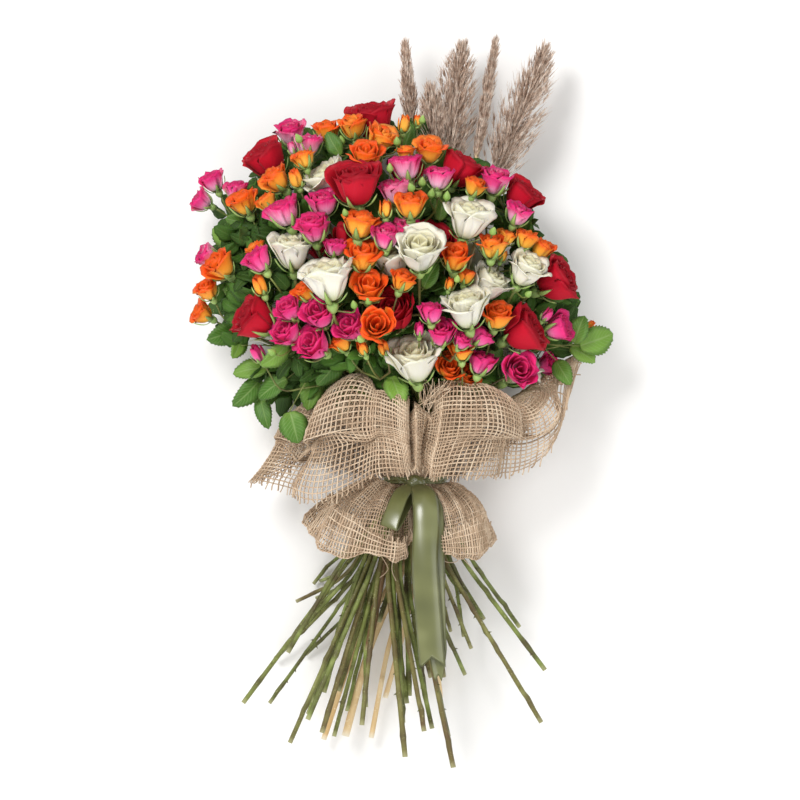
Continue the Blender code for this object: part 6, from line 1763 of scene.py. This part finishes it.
def makeTwine():
    turn = np.linspace(0, 4 * math.pi, 161)
    radius = twine["radius"]
    path = np.stack((radius * np.sin(turn), np.linspace(-1.2, 1.2, len(turn)),
                     bunch["tieHeight"] + radius * np.cos(turn)), 1)
    makePiece("binding_twine_turns", tubes(path, twine["thick"] / 2, 6), juteMaterial("jute twine", jute),
              ["binding_twine"])


# Threads pulled out of the cloth, as pixels of the photograph with heights, and a frayed tuft over the knot.
looseThreads = (
    ((371, 416, 196), (384, 419, 200), (402, 422, 190)),
    ((398, 536, 150), (395, 552, 142), (392, 568, 122), (396, 580, 112)),
    ((446, 533, 142), (441, 548, 146), (444, 560, 140), (457, 560, 136), (455, 549, 140), (448, 540, 146)),
    ((452, 541, 140), (462, 556, 130), (470, 566, 112)),
    ((382, 556, 132), (388, 568, 124), (380, 577, 112)),
)
tuft = {"threads": 26, "foot": (416, 436, 408, 170), "tip": (422, 452, 384, 184), "radius": 0.55}


def makeLooseThreads(rng):
    paths = [splinePath([photoPlace(*place) for place in row], 24) for row in looseThreads]
    for _ in range(tuft["threads"]):
        ends = [photoPlace(rng.uniform(*row[:2]), row[2] + rng.uniform(-6, 6), row[3] + rng.uniform(-5, 5))
                for row in (tuft["foot"], tuft["tip"])]
        bend = (ends[0] + ends[1]) / 2 + rng.normal(0, 4, 3)
        paths.append(bezier(ends[0], bend, bend, ends[1], 24))
    paths = np.array(paths) + rng.normal(0, 0.12, (len(paths), 24, 3))
    threads = tubes(paths, tuft["radius"], 3, tint=rng.uniform(0.4, 1.0, (len(paths), 1)))
    makePiece("loose_threads", threads, juteMaterial("pulled thread", jute))


# Stage


# The camera looks straight down on the bunch, as the photograph looks at it.
view = {"centre": (-17.25, 92.0), "height": 8.0, "across": 0.92, "level": 0.08, "sky": 0.6}


def makeStage():
    camera = bpy.data.cameras.new("camera")
    camera.sensor_width = 36.0
    camera.lens = 36.0 * (view["height"] - view["level"]) / view["across"]
    camera.clip_end = 30.0
    eye = addObject("camera", camera)
    eye.location = (view["centre"][0] * millimetre, view["centre"][1] * millimetre, view["height"])
    bpy.context.scene.camera = eye

    floor = bpy.data.meshes.new("floor")
    floor.from_pydata([(-6, -6, 0), (6, -6, 0), (6, 6, 0), (-6, 6, 0)], [], [(0, 1, 2, 3)])
    paper, _ = newMaterial("matt white paper")
    finishMaterial(paper, {"Base Color": "#F4F3F1", "Roughness": 0.9, "Specular IOR Level": 0.1})
    floor.materials.append(paper)
    addObject("floor", floor)

    for name, place, size, power in (
        ("key light", (-1.2, 1.5, 2.7), 1.2, 72.0),
        ("fill light", (1.8, -0.4, 2.4), 2.0, 26.0),
        ("low light", (-0.4, -2.0, 1.8), 1.6, 22.0),
    ):
        light = bpy.data.lights.new(name, "AREA")
        light.size = size
        light.energy = power
        lamp = addObject(name, light)
        lamp.location = place
        lamp.rotation_euler = (Vector((0, 0.08, 0.1)) - Vector(place)).to_track_quat("-Z", "Y").to_euler()

    world = bpy.data.worlds.new("studio")
    world.use_nodes = True
    sky = world.node_tree.nodes["Background"]
    sky.inputs["Color"].default_value = toLinear("#FFFFFF")
    sky.inputs["Strength"].default_value = view["sky"]
    bpy.context.scene.world = world
    bpy.context.scene.view_settings.view_transform = "Standard"


# Making the bouquet


makeStage()
print("stage set")
wrapPoints = burlapGrid(60, 3).reshape(-1, 3)
tailPoints = np.array([photoPlace(*p) for p in tailBack + tailFront])
solidPoints = np.concatenate((wrapPoints, tailPoints))
blooms = listBlooms()
spreadBlooms(blooms, wrapPoints)
stems, pedicels = layOutStems(blooms, wrapPoints, np.random.default_rng(bunch["seed"]))
canes = layOutCanes()
clearLines(stems + pedicels + canes, blooms, solidPoints)
leaves = layOutLeaves(blooms, stems, pedicels, canes, solidPoints, len(shownLeaves) + bunch["moreLeaves"])
print("laid out:", len(blooms), "heads,", len(stems), "stems,", len(leaves), "leaves")

turnHeads(blooms, stems, pedicels)
makeHeads(blooms, np.random.default_rng(11))
print("heads made")
makeStems(stems, pedicels, leaves, np.random.default_rng(12))
makeLeaves(blooms, stems, leaves, burlapGrid(90, 4).reshape(-1, 3), np.random.default_rng(13))
makeBuds(blooms, stems, pedicels, np.random.default_rng(14))
print("greenery made")
makePlumes(canes, np.random.default_rng(15))
print("plumes made")
makeRibbon()
makeBurlap(np.random.default_rng(17))
makeTwine()
makeLooseThreads(np.random.default_rng(18))
print("wrap made")

triangles = {piece.name: sum(len(face.vertices) - 2 for face in piece.data.polygons)
             for piece in bpy.data.objects if piece.type == "MESH" and not piece.hide_render}
biggest = sorted(triangles, key=triangles.get)[-8:]
print("triangles:", sum(triangles.values()), {name: triangles[name] for name in biggest})
